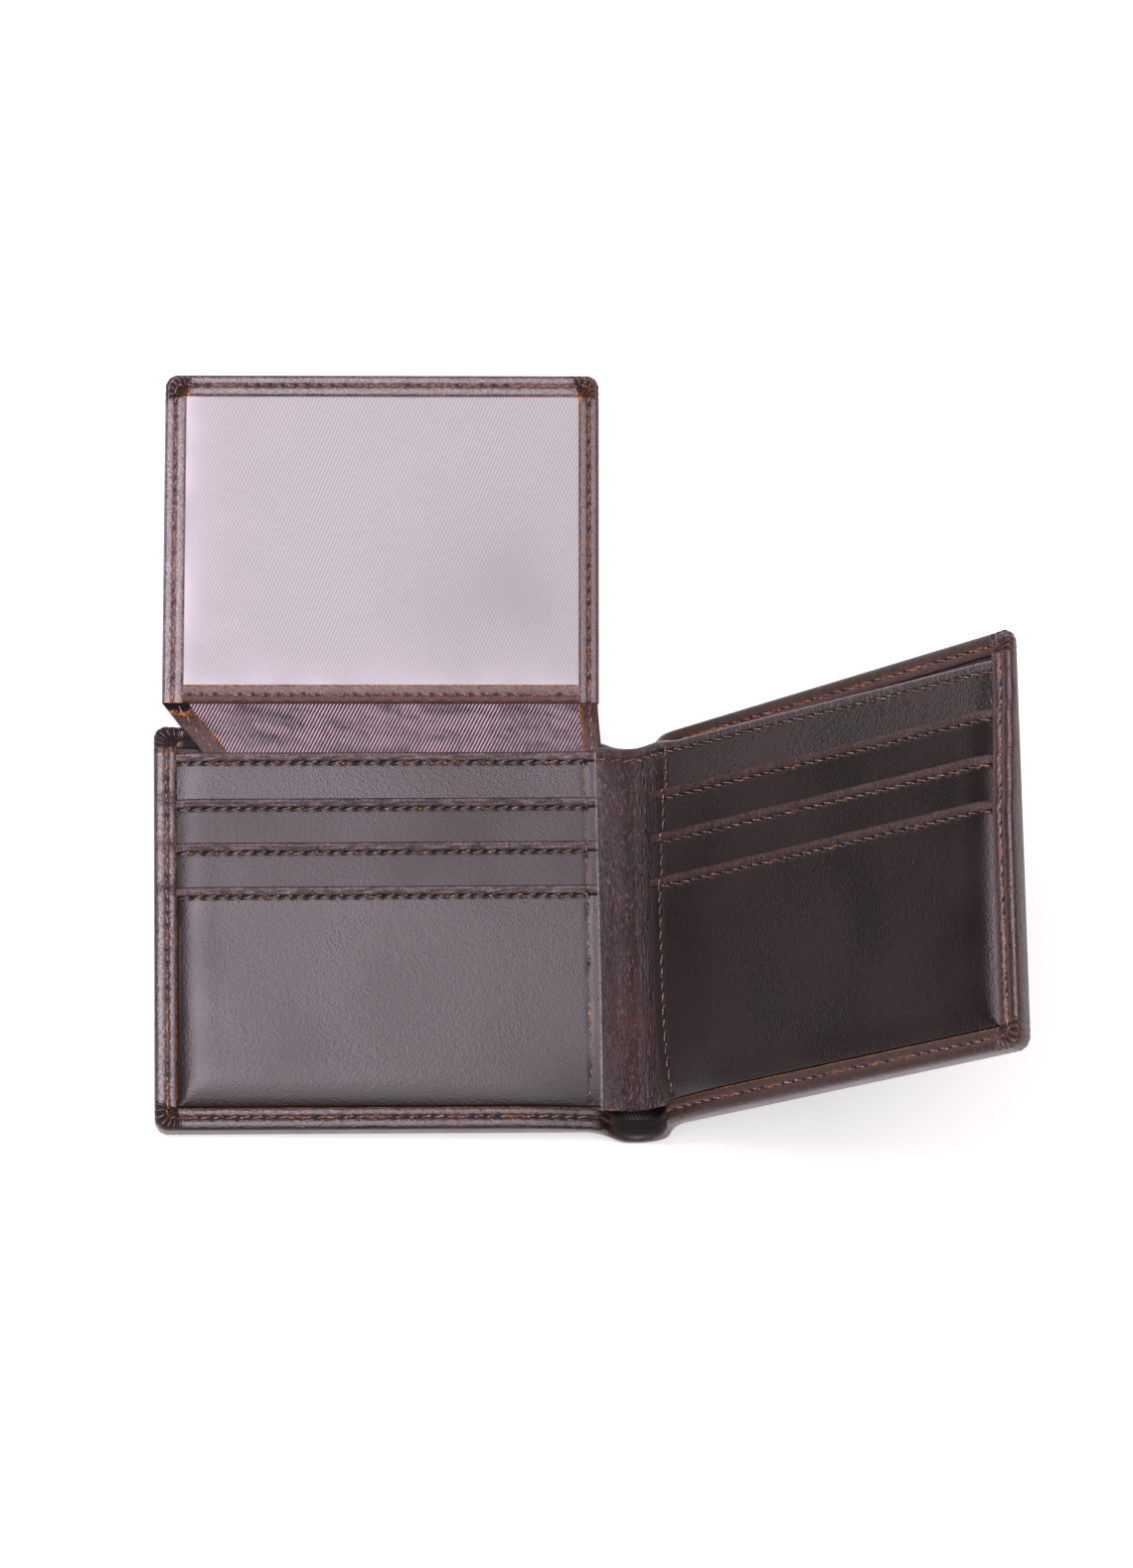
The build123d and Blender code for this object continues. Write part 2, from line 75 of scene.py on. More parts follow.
# ---- the frames, worked out from the joints ----
def placed(origin, angle):
    """Frame at a point of the row frame, in metres, turned up by angle about -Y. It takes millimetres."""
    turn = Matrix.Rotation(-angle, 4, "Y")
    return Matrix.Translation(origin) @ turn @ Matrix.Scale(0.001, 4)


hinge_axis = joints["flap_hinge"]["axis"]
fold_left = joints["fold_left"]["pos_m"]
fold_right = joints["fold_right"]["pos_m"]
tilt = math.atan2(hinge_axis[2], hinge_axis[0])
spine_angle = math.atan2(fold_right[2] - fold_left[2], fold_right[0] - fold_left[0])
CHORD = 1000 * math.hypot(fold_right[0] - fold_left[0], fold_right[2] - fold_left[2])
HALF_FOLD = spine_angle - tilt
bottom_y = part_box("cover_left")[0].y
MIRROR = Matrix.Diagonal((-1, 1, 1, 1))
LEFT_FRAME = placed((fold_left[0], bottom_y, fold_left[2]), tilt)
LEFT = LEFT_FRAME @ MIRROR
RIGHT = placed((fold_right[0], bottom_y, fold_right[2]), spine_angle + HALF_FOLD)
SPINE = placed((fold_left[0], bottom_y, fold_left[2]), spine_angle)
hinge_point = LEFT_FRAME.inverted() @ Matrix.Translation(joints["flap_hinge"]["pos_m"])
flap_rest = math.pi - math.radians(joints["flap_hinge"]["range_deg"][1])
FLAP = LEFT_FRAME @ Matrix.Translation((0, hinge_point[1][3], hinge_point[2][3]))
FLAP = FLAP @ Matrix.Rotation(flap_rest, 4, "X")


def local_box(node, where):
    """Lowest and highest corner of a CAD node in one of the frames, in millimetres."""
    inverse = where.inverted()
    points = np.array([list(inverse @ vertex.co) for vertex in nodes[node].data.vertices])
    return points.min(0), points.max(0)


def top_near_fold(node, where):
    """Highest y of a half's node within a millimetre of the edge beside its fold."""
    inverse = where.inverted()
    points = np.array([list(inverse @ vertex.co) for vertex in nodes[node].data.vertices])
    beside = points[:, 0] < points[:, 0].min() + 1
    return points[beside, 1].max()


cover_low, cover_high = local_box("cover_right", RIGHT)
WIDTH, HEIGHT, COVER_HALF = cover_high[0], cover_high[1], -cover_low[2]
HEIGHT_AT_FOLD = top_near_fold("cover_right", RIGHT)
panel_low, panel_high = local_box("base_panel_right", RIGHT)
SEAM_EDGE, PANEL_TOP = panel_low[0], panel_high[1]
pocket_names = ["card_pocket_upper", "card_pocket_middle", "card_pocket_front"]
pockets = [local_box(name + "_right", RIGHT) for name in pocket_names]
spine_low, spine_high = local_box("cover_spine", SPINE)
lining_low, lining_high = local_box("spine_lining", SPINE)
flap_low, flap_high = local_box("flap_leather", FLAP)
band_low, band_high = local_box("flap_band", FLAP)
_, gusset_high = local_box("gusset_fabric", FLAP)
RIM = 5.1  # cover leather turned in over the panels
RIM_LEATHER = 0.62
UNDER_RIM = 1.5  # how far the layers run in under the rim
SEAM_END = WIDTH - RIM - 0.4  # where the pockets' and the hems' seams meet the rim
HEM_TOP = COVER_HALF + 0.85  # top of the cover's hem beside the fold and along its top edge
SEAM_SINK = 0.38  # how deep a seam pulls into a turned edge


# ---- mesh building ----
def new_object(name, data):
    made = bpy.data.objects.new(name, data)
    bpy.context.scene.collection.objects.link(made)
    return made


def build(name, vertices, faces, where, material, paint=None, merge=0.0, close=False):
    """A mesh object from local millimetres, with a grain coordinate and painted wear, painted highlights and
    painted shade for its material.
    """
    mesh = bpy.data.meshes.new(name)
    flip = where.determinant() < 0
    faces = [tuple(reversed(face)) for face in faces] if flip else faces
    mesh.from_pydata([tuple(v) for v in vertices], [], faces)
    grain = mesh.attributes.new("grain", "FLOAT_VECTOR", "POINT")
    grain.data.foreach_set("vector", np.asarray(vertices, float).ravel())
    for key in ("wear_and_painted_light", "raw", "hole_shade", "crease_and_painted_light", "painted_highlight"):
        layer = mesh.attributes.new(key, "FLOAT", "POINT")
        values = (paint or {}).get(key)
        if values is not None:
            layer.data.foreach_set("value", np.clip(np.asarray(values, float).ravel(), 0, 1))
    if merge or close:
        bm = bmesh.new()
        bm.from_mesh(mesh)
        if merge:
            bmesh.ops.remove_doubles(bm, verts=bm.verts, dist=merge)
        if close:
            for edge in bm.edges:
                edge.smooth = not edge.is_boundary
            bmesh.ops.holes_fill(bm, edges=[edge for edge in bm.edges if edge.is_boundary], sides=0)
        bmesh.ops.recalc_face_normals(bm, faces=bm.faces)
        bm.to_mesh(mesh)
        bm.free()
    mesh.transform(where)
    mesh.polygons.foreach_set("use_smooth", [True] * len(mesh.polygons))
    mesh.materials.append(material)
    return new_object(name, mesh)


def grid_lines(start, end, step, fine=(), fine_step=0.3, reach=0.9):
    """Grid lines from start to end, closer together at both ends and around each value in fine."""
    values = list(np.linspace(start, end, int(math.ceil((end - start) / step)) + 1))
    for centre in fine:
        values += list(np.arange(centre - reach, centre + reach + 0.001, fine_step))
    for offset in (0.05, 0.14, 0.28, 0.46, 0.7, 1.0, 1.5):
        values += [start + offset, end - offset]
    kept = [start]
    for value in sorted(values):
        if kept[-1] + 0.045 < value < end - 0.045:
            kept.append(value)
    return np.array(kept + [end])


def smooth_step(value, low, high):
    t = np.clip((value - low) / (high - low), 0, 1)
    return t * t * (3 - 2 * t)


def bump(value, centre, width):
    return np.exp(-(((value - centre) / width) ** 2))


def waves(x, y, scale, seed):
    """Slow noise over arrays, from about -1 to 1."""
    flat = [noise.noise((a / scale, b / scale, seed)) for a, b in zip(np.ravel(x), np.ravel(y))]
    return np.array(flat).reshape(np.shape(x)) * 2


def mottle(x, y, scale, seed):
    """Slow noise over arrays, from about 0 to 1."""
    return 0.5 + 0.5 * waves(x, y, scale, seed)


def level_at(height):
    """A height that is the same everywhere, as a function of place."""
    return lambda x, y=None: np.full(np.shape(x), height)


def sheet_faces(rows, columns):
    """Quads of a grid front and of its back, which share the outline's vertices."""
    front = np.arange(rows * columns).reshape(rows, columns)
    back = front.copy()
    inner = np.arange((rows - 2) * (columns - 2)).reshape(rows - 2, columns - 2)
    back[1:-1, 1:-1] = inner + rows * columns
    faces = []
    for i in range(rows - 1):
        for j in range(columns - 1):
            faces.append((front[i, j], front[i, j + 1], front[i + 1, j + 1], front[i + 1, j]))
            faces.append((back[i, j], back[i + 1, j], back[i + 1, j + 1], back[i, j + 1]))
    return faces


def sheet_vertices(x, y, front, back, edges):
    """Vertices of a sheet whose front and back meet in rounded edges. edges holds the radii of its left,
    right, bottom and top edge."""
    left, right, low, high = edges
    sides = np.minimum((x - x[:, :1]) / left, (x[:, -1:] - x) / right)
    ends = np.minimum((y - y[:1, :]) / low, (y[-1:, :] - y) / high)
    full = np.sqrt(1 - (1 - np.clip(np.minimum(sides, ends), 0, 1)) ** 2)
    middle = (front + back) / 2
    top = np.stack([x, y, middle + (front - middle) * full], -1)
    under = np.stack([x, y, middle + (back - middle) * full], -1)[1:-1, 1:-1]
    return np.concatenate([top.reshape(-1, 3), under.reshape(-1, 3)])


def build_sheet(name, x, y, front, back, edges, where, material, paint=None, shape=None):
    """A sheet as a mesh object, with the paint of its front repeated on its back."""
    vertices = sheet_vertices(x, y, front, back, edges)
    paint = {
        key: np.concatenate([values.ravel(), values[1:-1, 1:-1].ravel()])
        for key, values in (paint or {}).items()
    }
    placed_vertices = vertices if shape is None else shape(vertices)
    return build(name, placed_vertices, sheet_faces(*x.shape), where, material, paint)


# ---- stitching ----
def stations(points):
    """Evenly spaced stitch holes along a polyline."""
    points = np.array(points, float)
    lengths = np.hypot(*np.diff(points, axis=0).T)
    along = np.concatenate([[0], np.cumsum(lengths)])
    count = max(1, round(along[-1] / PITCH))
    steps = np.linspace(0, along[-1], count + 1)
    return np.stack([np.interp(steps, along, points[:, k]) for k in (0, 1)], 1)


def relief(x, y, holes):
    """The groove that a seam pulls into leather, and how near each point is to a hole."""
    groove, near = np.zeros(np.shape(x)), np.zeros(np.shape(x))
    for a, b in zip(holes[:-1], holes[1:]):
        box = (x > min(a[0], b[0]) - 1.6) & (x < max(a[0], b[0]) + 1.6)
        box &= (y > min(a[1], b[1]) - 1.6) & (y < max(a[1], b[1]) + 1.6)
        if not box.any():
            continue
        px, py = x[box] - a[0], y[box] - a[1]
        dx, dy = b - a
        t = np.clip((px * dx + py * dy) / (dx * dx + dy * dy), 0, 1)
        gap = np.hypot(px - t * dx, py - t * dy)
        pull = 0.7 + 0.3 * np.cos(2 * math.pi * t)
        groove[box] = np.maximum(groove[box], pull * np.exp(-((gap / 0.55) ** 2)))
        ends = np.minimum(np.hypot(px, py), np.hypot(px - dx, py - dy))
        near[box] = np.maximum(near[box], np.exp(-((ends / HOLE) ** 2)))
    return 0.14 * groove + HOLE_DEPTH * near, near


# A stitch's line from hole to hole, as (share of its length, rise).
STITCH_LINE = [
    (0.05, -0.4), (0.11, -0.03), (0.26, 0.1), (0.5, 0.15), (0.74, 0.1), (0.89, -0.03), (0.95, -0.4),
]
STITCH_SIDES = 6
STITCH_SLANT = 0.34  # how far each end of a stitch lies beside its seam's line


def stitch_row(holes, height, outward=1):
    """Each stitch as a slanting, bowed length of thread that dives into the leather at both its holes."""
    vertices, faces = [], []
    for a, b in zip(holes[:-1], holes[1:]):
        along = (b - a) / np.linalg.norm(b - a)
        across = np.array([-along[1], along[0]])
        loose = 0.05 * noise.noise((float(a[0]), float(a[1]), 3.0))
        start = len(vertices)
        for share, rise in STITCH_LINE:
            point = a + (b - a) * share + across * (STITCH_SLANT * (1 - 2 * share) + loose)
            z = float(height(point[:1], point[1:])[0]) + outward * rise
            thick = THREAD * (1.0 if 0.2 < share < 0.8 else 0.75)
            for k in range(STITCH_SIDES):
                angle = 2 * math.pi * k / STITCH_SIDES
                side = across * thick * math.cos(angle)
                lift = thick * 0.85 * math.sin(angle)
                vertices.append((point[0] + side[0], point[1] + side[1], z + lift))
        for ring in range(len(STITCH_LINE) - 1):
            low = start + ring * STITCH_SIDES
            high = low + STITCH_SIDES
            for k in range(STITCH_SIDES):
                after = (k + 1) % STITCH_SIDES
                faces.append((low + k, high + k, high + after, low + after))
        last = start + (len(STITCH_LINE) - 1) * STITCH_SIDES
        faces.append(tuple(start + k for k in range(STITCH_SIDES)))
        faces.append(tuple(last + k for k in reversed(range(STITCH_SIDES))))
    return vertices, faces


def stitches(name, rows, where, replaced, material, shape=None, body=None):
    """One object of all the stitches of a node. Each row is its holes, its height and the way it faces."""
    vertices, faces = [], []
    for row in rows:
        row_vertices, row_faces = stitch_row(*row)
        faces += [tuple(index + len(vertices) for index in face) for face in row_faces]
        vertices += row_vertices
    points = np.array(vertices)
    piece = build(name, points if shape is None else shape(points), faces, where, material)
    if replaced:
        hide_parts(*replaced)
    if body:
        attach(piece, body)
    return piece


# ---- materials ----
def new_material(name):
    material = bpy.data.materials.new(name)
    material.use_nodes = True
    tree = material.node_tree
    return material, tree, tree.nodes["Principled BSDF"]


def set_inputs(tree, node, inputs):
    """Sets each input of a shader node to a value, or links it to another node's output."""
    for key, value in inputs.items():
        if isinstance(value, bpy.types.NodeSocket):
            tree.links.new(value, node.inputs[key])
        else:
            node.inputs[key].default_value = value


def shader_node(tree, kind, inputs, **settings):
    node = tree.nodes.new(kind)
    for key, value in settings.items():
        setattr(node, key, value)
    set_inputs(tree, node, inputs)
    return node


def attribute(tree, name, output):
    return shader_node(tree, "ShaderNodeAttribute", {}, attribute_name=name).outputs[output]


def noise_texture(tree, vector, scale, detail=3.0, rough=0.5, stretch=None):
    if stretch:
        mapping = shader_node(tree, "ShaderNodeMapping", {"Vector": vector, "Scale": stretch})
        vector = mapping.outputs["Vector"]
    inputs = {"Vector": vector, "Scale": scale, "Detail": detail, "Roughness": rough}
    return shader_node(tree, "ShaderNodeTexNoise", inputs).outputs["Fac"]


def voronoi_texture(tree, vector, scale):
    return shader_node(tree, "ShaderNodeTexVoronoi", {"Vector": vector, "Scale": scale}).outputs["Distance"]


def math_node(tree, operation, a, b, clamp=False):
    node = shader_node(tree, "ShaderNodeMath", {0: a, 1: b}, operation=operation, use_clamp=clamp)
    return node.outputs[0]


def ramp(tree, value, stops):
    node = shader_node(tree, "ShaderNodeValToRGB", {"Fac": value})
    elements = node.color_ramp.elements
    while len(elements) < len(stops):
        elements.new(0.5)
    for element, (position, colour) in zip(elements, stops):
        element.position = position
        element.color = (*colour, 1)
    return node.outputs["Color"]


def spread(tree, value, low, high, out_low=0.0, out_high=1.0):
    inputs = {"Value": value, "From Min": low, "From Max": high, "To Min": out_low, "To Max": out_high}
    return shader_node(tree, "ShaderNodeMapRange", inputs).outputs["Result"]


def mix_colour(tree, factor, a, b):
    a, b = ((*value, 1) if isinstance(value, tuple) else value for value in (a, b))
    return shader_node(tree, "ShaderNodeMix", {0: factor, 6: a, 7: b}, data_type="RGBA").outputs[2]


def add_bump(tree, shader, height, strength, distance, previous=None):
    inputs = {"Height": height, "Strength": strength, "Distance": distance}
    if previous is not None:
        inputs["Normal"] = previous
    normal = shader_node(tree, "ShaderNodeBump", inputs).outputs["Normal"]
    tree.links.new(normal, shader.inputs["Normal"])
    return normal


def leather(name, dark, light, rough, grainy=1.0, lumps=0.15, shine=0.5):
    """Oiled pull-up leather: pores, slow colour change, reddish rubbed places, painted highlights along
    edges, orange raw edges and painted shade in stitch holes and hollows. Where creases are painted, it is
    gathered in fine upright wrinkles, with painted highlights on their ridges and painted shade in their
    valleys."""
    material, tree, shader = new_material(name)
    grain = attribute(tree, "grain", "Vector")
    keys = ("wear_and_painted_light", "raw", "hole_shade", "painted_highlight", "crease_and_painted_light")
    wear_and_painted_light, raw, hole_shade, painted_highlight, crease_and_painted_light = (attribute(tree, key, "Fac") for key in keys)
    cloud = noise_texture(tree, grain, 0.045, 1.0)
    patch = noise_texture(tree, grain, 0.4, 4.0, 0.65)
    speckle = noise_texture(tree, grain, 1.6, 3.0, 0.7)
    folds = noise_texture(tree, grain, 1.5, 5.0, 0.6, (1.0, 0.4, 1.0))
    base = mix_colour(tree, spread(tree, cloud, 0.3, 0.7), dark, light)
    coats = (
        (crease_and_painted_light, (folds, 0.575, 0.62), (0.16, 0.11, 0.105)),  # painted highlight on the ridges of the wrinkles
        (crease_and_painted_light, (folds, 0.52, 0.45), (0.003, 0.0015, 0.0015)),  # painted shade in the valleys of the wrinkles
        (1.0, (speckle, 0.5, 0.8, 0.0, 0.35), (0.055, 0.024, 0.016)),  # brown specks everywhere
        (wear_and_painted_light, (speckle, 0.36, 0.62, 0.25, 1.0), (0.13, 0.04, 0.024)),  # rubbed red, which on the right side's rims is also painted shade
        (painted_highlight, (speckle, 0.4, 0.6, 0.35, 1.0), (0.42, 0.33, 0.34)),  # painted highlight
        (raw, (speckle, 0.42, 0.56, 0.0, 1.0), (0.75, 0.3, 0.035)),  # torn down to the orange inside
    )
    for paint, texture, colour in coats:
        coat = math_node(tree, "MULTIPLY", paint, spread(tree, *texture), True)
        base = mix_colour(tree, coat, base, colour)
    # painted shade: near black in the stitch holes, the pleats' valleys, hollows and wherever else it is
    # painted
    base = mix_colour(tree, hole_shade, base, (0.002, 0.001, 0.001))
    gloss = math_node(tree, "ADD", rough, spread(tree, cloud, 0.3, 0.7, -0.05, 0.05))
    for paint, change in ((wear_and_painted_light, 0.32), (raw, 0.3), (hole_shade, 0.8)):
        gloss = math_node(tree, "ADD", gloss, math_node(tree, "MULTIPLY", paint, change), True)
    set_inputs(tree, shader, {"Base Color": base, "Roughness": gloss, "Specular IOR Level": shine})
    pores = voronoi_texture(tree, grain, 2.1)
    skin = math_node(tree, "ADD", pores, math_node(tree, "MULTIPLY", speckle, 1.3))
    normal = add_bump(tree, shader, skin, 0.55 * grainy, 0.0001)
    normal = add_bump(tree, shader, patch, lumps, 0.0005, normal)
    add_bump(tree, shader, math_node(tree, "MULTIPLY", folds, crease_and_painted_light), 1.0, 0.0013, normal)
    return material


def object_millimetres(tree):
    """A grain coordinate for the CAD's own meshes, which have no grain attribute."""
    place = shader_node(tree, "ShaderNodeTexCoord", {}).outputs["Object"]
    inputs = {"Vector": place, "Scale": (1000, 1000, 1000)}
    return shader_node(tree, "ShaderNodeMapping", inputs).outputs["Vector"]


TWILL_PITCH = 0.72
WAVE_LENGTH = math.pi / 10  # length of one rib of Blender's wave texture at a scale of 1


def twill(name, dark, light, angle, contrast, middle, sheen=0.2, on_cad=False):
    """Twill: fine slanting ribs with a satin sheen, darkened by painted shade where that is given."""
    material, tree, shader = new_material(name)
    grain = object_millimetres(tree) if on_cad else attribute(tree, "grain", "Vector")
    turn = shader_node(tree, "ShaderNodeMapping", {"Vector": grain, "Rotation": (0, 0, angle)})
    ribs = {"Scale": WAVE_LENGTH / TWILL_PITCH, "Distortion": 0.5, "Detail": 2.0, "Detail Scale": 1.5}
    ribs["Vector"] = turn.outputs["Vector"]
    rib = shader_node(tree, "ShaderNodeTexWave", ribs).outputs["Fac"]
    cloud = noise_texture(tree, grain, 0.16, 3.0)
    fleck = noise_texture(tree, grain, 2.8, 2.0)
    tone = spread(tree, rib, 0.15, 0.85, middle - contrast, middle + contrast)
    tone = math_node(tree, "ADD", tone, spread(tree, fleck, 0.3, 0.7, -0.12, 0.12))
    tone = math_node(tree, "ADD", tone, spread(tree, cloud, 0.3, 0.7, -0.12, 0.12), True)
    # painted shade: the twill goes towards its dark colour where the shade is painted
    base = mix_colour(tree, attribute(tree, "crease_and_painted_light", "Fac"), mix_colour(tree, tone, dark, light), dark)
    look = {"Base Color": base, "Roughness": 0.5, "Sheen Weight": sheen, "Sheen Roughness": 0.4}
    set_inputs(tree, shader, look)
    add_bump(tree, shader, rib, 0.5, 0.00012)
    return material


def thread_material(name, dark, middle, light):
    material, tree, shader = new_material(name)
    grain = attribute(tree, "grain", "Vector")
    twist = noise_texture(tree, grain, 2.2, 2.0, 0.5)
    base = ramp(tree, twist, [(0.36, dark), (0.52, middle), (0.72, light)])
    set_inputs(tree, shader, {"Base Color": base, "Roughness": 0.5})
    add_bump(tree, shader, noise_texture(tree, grain, 9.0), 0.4, 0.00005)
    return material


def film_material():
    """Clear soft film: mostly see-through, and whiter where a painted reflection is given."""
    material, tree, shader = new_material("clear_film")
    grain = attribute(tree, "grain", "Vector")
    gloss = spread(tree, noise_texture(tree, grain, 0.05, 3.0), 0.3, 0.7, 0.2, 0.3)
    # painted reflection: an even haze, made whiter where the reflection is painted
    haze_and_reflection = math_node(tree, "MULTIPLY", attribute(tree, "wear_and_painted_light", "Fac"), 0.55)
    haze_and_reflection = math_node(tree, "ADD", haze_and_reflection, 0.22, True)
    look = {"Base Color": (0.72, 0.7, 0.73, 1), "Roughness": gloss, "Alpha": haze_and_reflection, "Specular IOR Level": 0.5}
    set_inputs(tree, shader, look)
    add_bump(tree, shader, noise_texture(tree, grain, 0.08, 2.0), 0.3, 0.0008)
    return material


COVER_LEATHER = leather(
    "cover_leather", (0.016, 0.007, 0.006), (0.034, 0.014, 0.011), 0.25, grainy=0.9, lumps=0.35, shine=0.8
)
INNER_LEATHER = leather(
    "inner_leather", (0.011, 0.0065, 0.006), (0.018, 0.01, 0.009), 0.27, grainy=0.5, lumps=0.07
)
SPINE_LEATHER = leather(
    "spine_leather", (0.013, 0.007, 0.0065), (0.026, 0.013, 0.011), 0.26, grainy=1.2, lumps=0.25, shine=0.9
)
FLAP_LEATHER = leather(
    "flap_leather_look", (0.022, 0.01, 0.008), (0.044, 0.018, 0.014), 0.24, lumps=0.4, shine=1.0
)
BINDING_LEATHER = leather(
    "binding_leather", (0.016, 0.008, 0.007), (0.03, 0.014, 0.012), 0.36, grainy=1.2, lumps=0.4
)
LINING_ANGLE, WINDOW_ANGLE = math.radians(27), math.radians(22)
GUSSET_TWILL = twill("gusset_twill", (0.006, 0.003, 0.005), (0.6, 0.42, 0.5), LINING_ANGLE, 2.1, -0.55)
WINDOW_TWILL = twill("window_twill", (0.26, 0.26, 0.252), (0.58, 0.592, 0.564), WINDOW_ANGLE, 0.7, 0.55)
# The cover's lining twill is given very dark colours and no sheen: painted shade for the deep places where it
# shows.
SHADED_LINING_TWILL = twill(
    "shaded_lining_twill", (0.006, 0.004, 0.005), (0.026, 0.018, 0.022), LINING_ANGLE, 0.5, 0.45, sheen=0.0
)
HIDDEN_TWILL = twill(
    "hidden_twill", (0.008, 0.005, 0.006), (0.06, 0.042, 0.05), LINING_ANGLE, 0.5, 0.45, on_cad=True
)
# One thread in two copies: the peach one for the rims, the flap and the gusset, and a darker one for the
# pocket, panel and spine rows, as painted shade for rows that catch less light.
PEACH_THREAD = thread_material("peach_thread", (0.05, 0.02, 0.015), (0.3, 0.15, 0.1), (0.78, 0.46, 0.32))
SHADED_THREAD = thread_material("shaded_thread", (0.04, 0.022, 0.018), (0.2, 0.13, 0.105), (0.55, 0.4, 0.34))
FILM = film_material()


# ---- how the layers of a half settle together ----
def settle(x, y, z, right):
    """Height of a layer once the stack is pressed flat at its rim and sewn down beside the spine."""
    on_half = smooth_step(x, -6.0, 0.5)
    edge = np.minimum(WIDTH - x, np.maximum(y, 0))
    beside = np.maximum(x, 0)
    pressed = z * (1 - 0.6 * on_half * np.exp(-((edge / 6) ** 2)))
    corner = 0.5 * np.exp(-((beside / 11) ** 2)) * np.exp(-((np.maximum(y, 0) / 14) ** 2))
    pressed = pressed * (1 - corner * on_half)
    slow = -0.3 * (1 + np.sin(x / 23 + 1.3) * np.sin(y / 19 + (0.6 if right else 2.0)))
    rise = slow * smooth_step(edge, 2, 16) * smooth_step(x, 0, 18)
    if right:
        curl = 0.33 * bump(y, 52, 24) - 0.7 * bump(y, 90, 14)
        rise = rise + curl * np.exp(-((beside / 20) ** 2))
    return pressed + np.clip(z / 2.4, 0, 1) * on_half * rise


def in_hem(gap, past=0.2):
    """1 in a folded hem and 0 past its seam, by the distance from its folded edge."""
    return 1 - smooth_step(gap, MOUTH_SEAM - 0.5, MOUTH_SEAM + past)


def hem_lines(low, high):
    """Grid lines up a layer, closer together about its hem's seam."""
    return grid_lines(low, high, 2.4, [high - MOUTH_SEAM], 0.2, 1.4)


def hem_relief(gap):
    """Rise of a folded hem, by the distance from its folded edge. It is highest just inside the edge."""
    return HEM_RISE * in_hem(gap, 0.3) * (0.7 + 0.3 * bump(gap, 0.9, 0.8))


class Half:
    """The layers of one half, their seams, and the surface that they make together."""

    def __init__(self, side):
        self.right = side == "right"
        self.side = side
        self.where = RIGHT if self.right else LEFT
        self.body = side + "_half"
        seam_x = SEAM_EDGE + SEAM_IN
        self.layers = [(PANEL_TOP, panel_low[2], panel_high[2])]
        self.layers += [(high[1], low[2], high[2]) for low, high in pockets]
        seam_heights = [top - MOUTH_SEAM for top, _, _ in self.layers]
        self.rows = [stations([(seam_x, y), (SEAM_END, y)]) for y in seam_heights]
        seam_top = PANEL_TOP - (0.6 if self.right else MOUTH_SEAM)
        self.upright = stations([(seam_x, RIM + 1.2), (seam_x, seam_top)])

    def front(self, index, x, y):
        """Front of one layer before it settles, and how near each point is to a stitch hole."""
        top, _, front = self.layers[index]
        groove, near = relief(x, y, self.rows[index])
        upright, near_upright = relief(x, y, self.upright)
        return front + hem_relief(top - y) - groove - 0.8 * upright, np.maximum(near, near_upright)

    def surface(self, x, y, hems=0.0, soft=0.35):
        """Top of the whole stack, settled. soft is how far each step down is spread."""
        z = np.full(np.shape(x), self.layers[0][2], float)
        z = z + hems * hem_relief(self.layers[0][0] - y)
        for top, _, front in self.layers[1:]:
            level = front + hems * hem_relief(top - y)
            z = z + smooth_step(top - y, -soft, soft) * (np.maximum(level, z) - z)
        return settle(x, y, z, self.right)

    def rim_level(self, path):
        """Top of the turned cover leather along its path: over the stack, or low along the top and fold."""
        x, y = path.ends[:, 0], path.ends[:, 1]
        stack = self.surface(np.clip(x, 0.5, None), y, soft=2.5) + RIM_LEATHER
        over = smooth_step(x, -0.4, 2.4)
        (_, top_run), (side_start, _), _ = path.runs
        past_corner = smooth_step(np.arange(len(x)), top_run, side_start)
        return HEM_TOP + (stack - HEM_TOP) * over * past_corner


UPPER_POCKET_SHADE = 0.13  # the left half's two upper pockets are painted this much darker and rougher than the rest: painted shade for their weaker reflection


def layer_piece(half, index, name, x0, y0, replaced):
    """One leather layer of a half: a pocket or the left base panel."""
    top, back, _ = half.layers[index]
    xs = grid_lines(x0, WIDTH - RIM + UNDER_RIM, GRID_STEP)
    x, y = np.meshgrid(xs, hem_lines(y0, top))
    front, near = half.front(index, x, y)
    front, back = (settle(x, y, z, half.right) for z in (front, back))
    # painted highlights at full strength on the left half, faint on the right half, which catches less light
    paint = layer_paint(x, y, x0, top, near, index, 0.12 if half.right else 1.0)
    # painted shade on the left half's two upper pockets
    if index in (1, 2) and not half.right:
        paint["hole_shade"] = np.maximum(paint["hole_shade"], UPPER_POCKET_SHADE)
    edges = (0.5, 0.5, 0.4, 0.75)
    piece = build_sheet(name, x, y, front, back, edges, half.where, INNER_LEATHER, paint)
    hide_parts(*replaced)
    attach(piece, half.body)


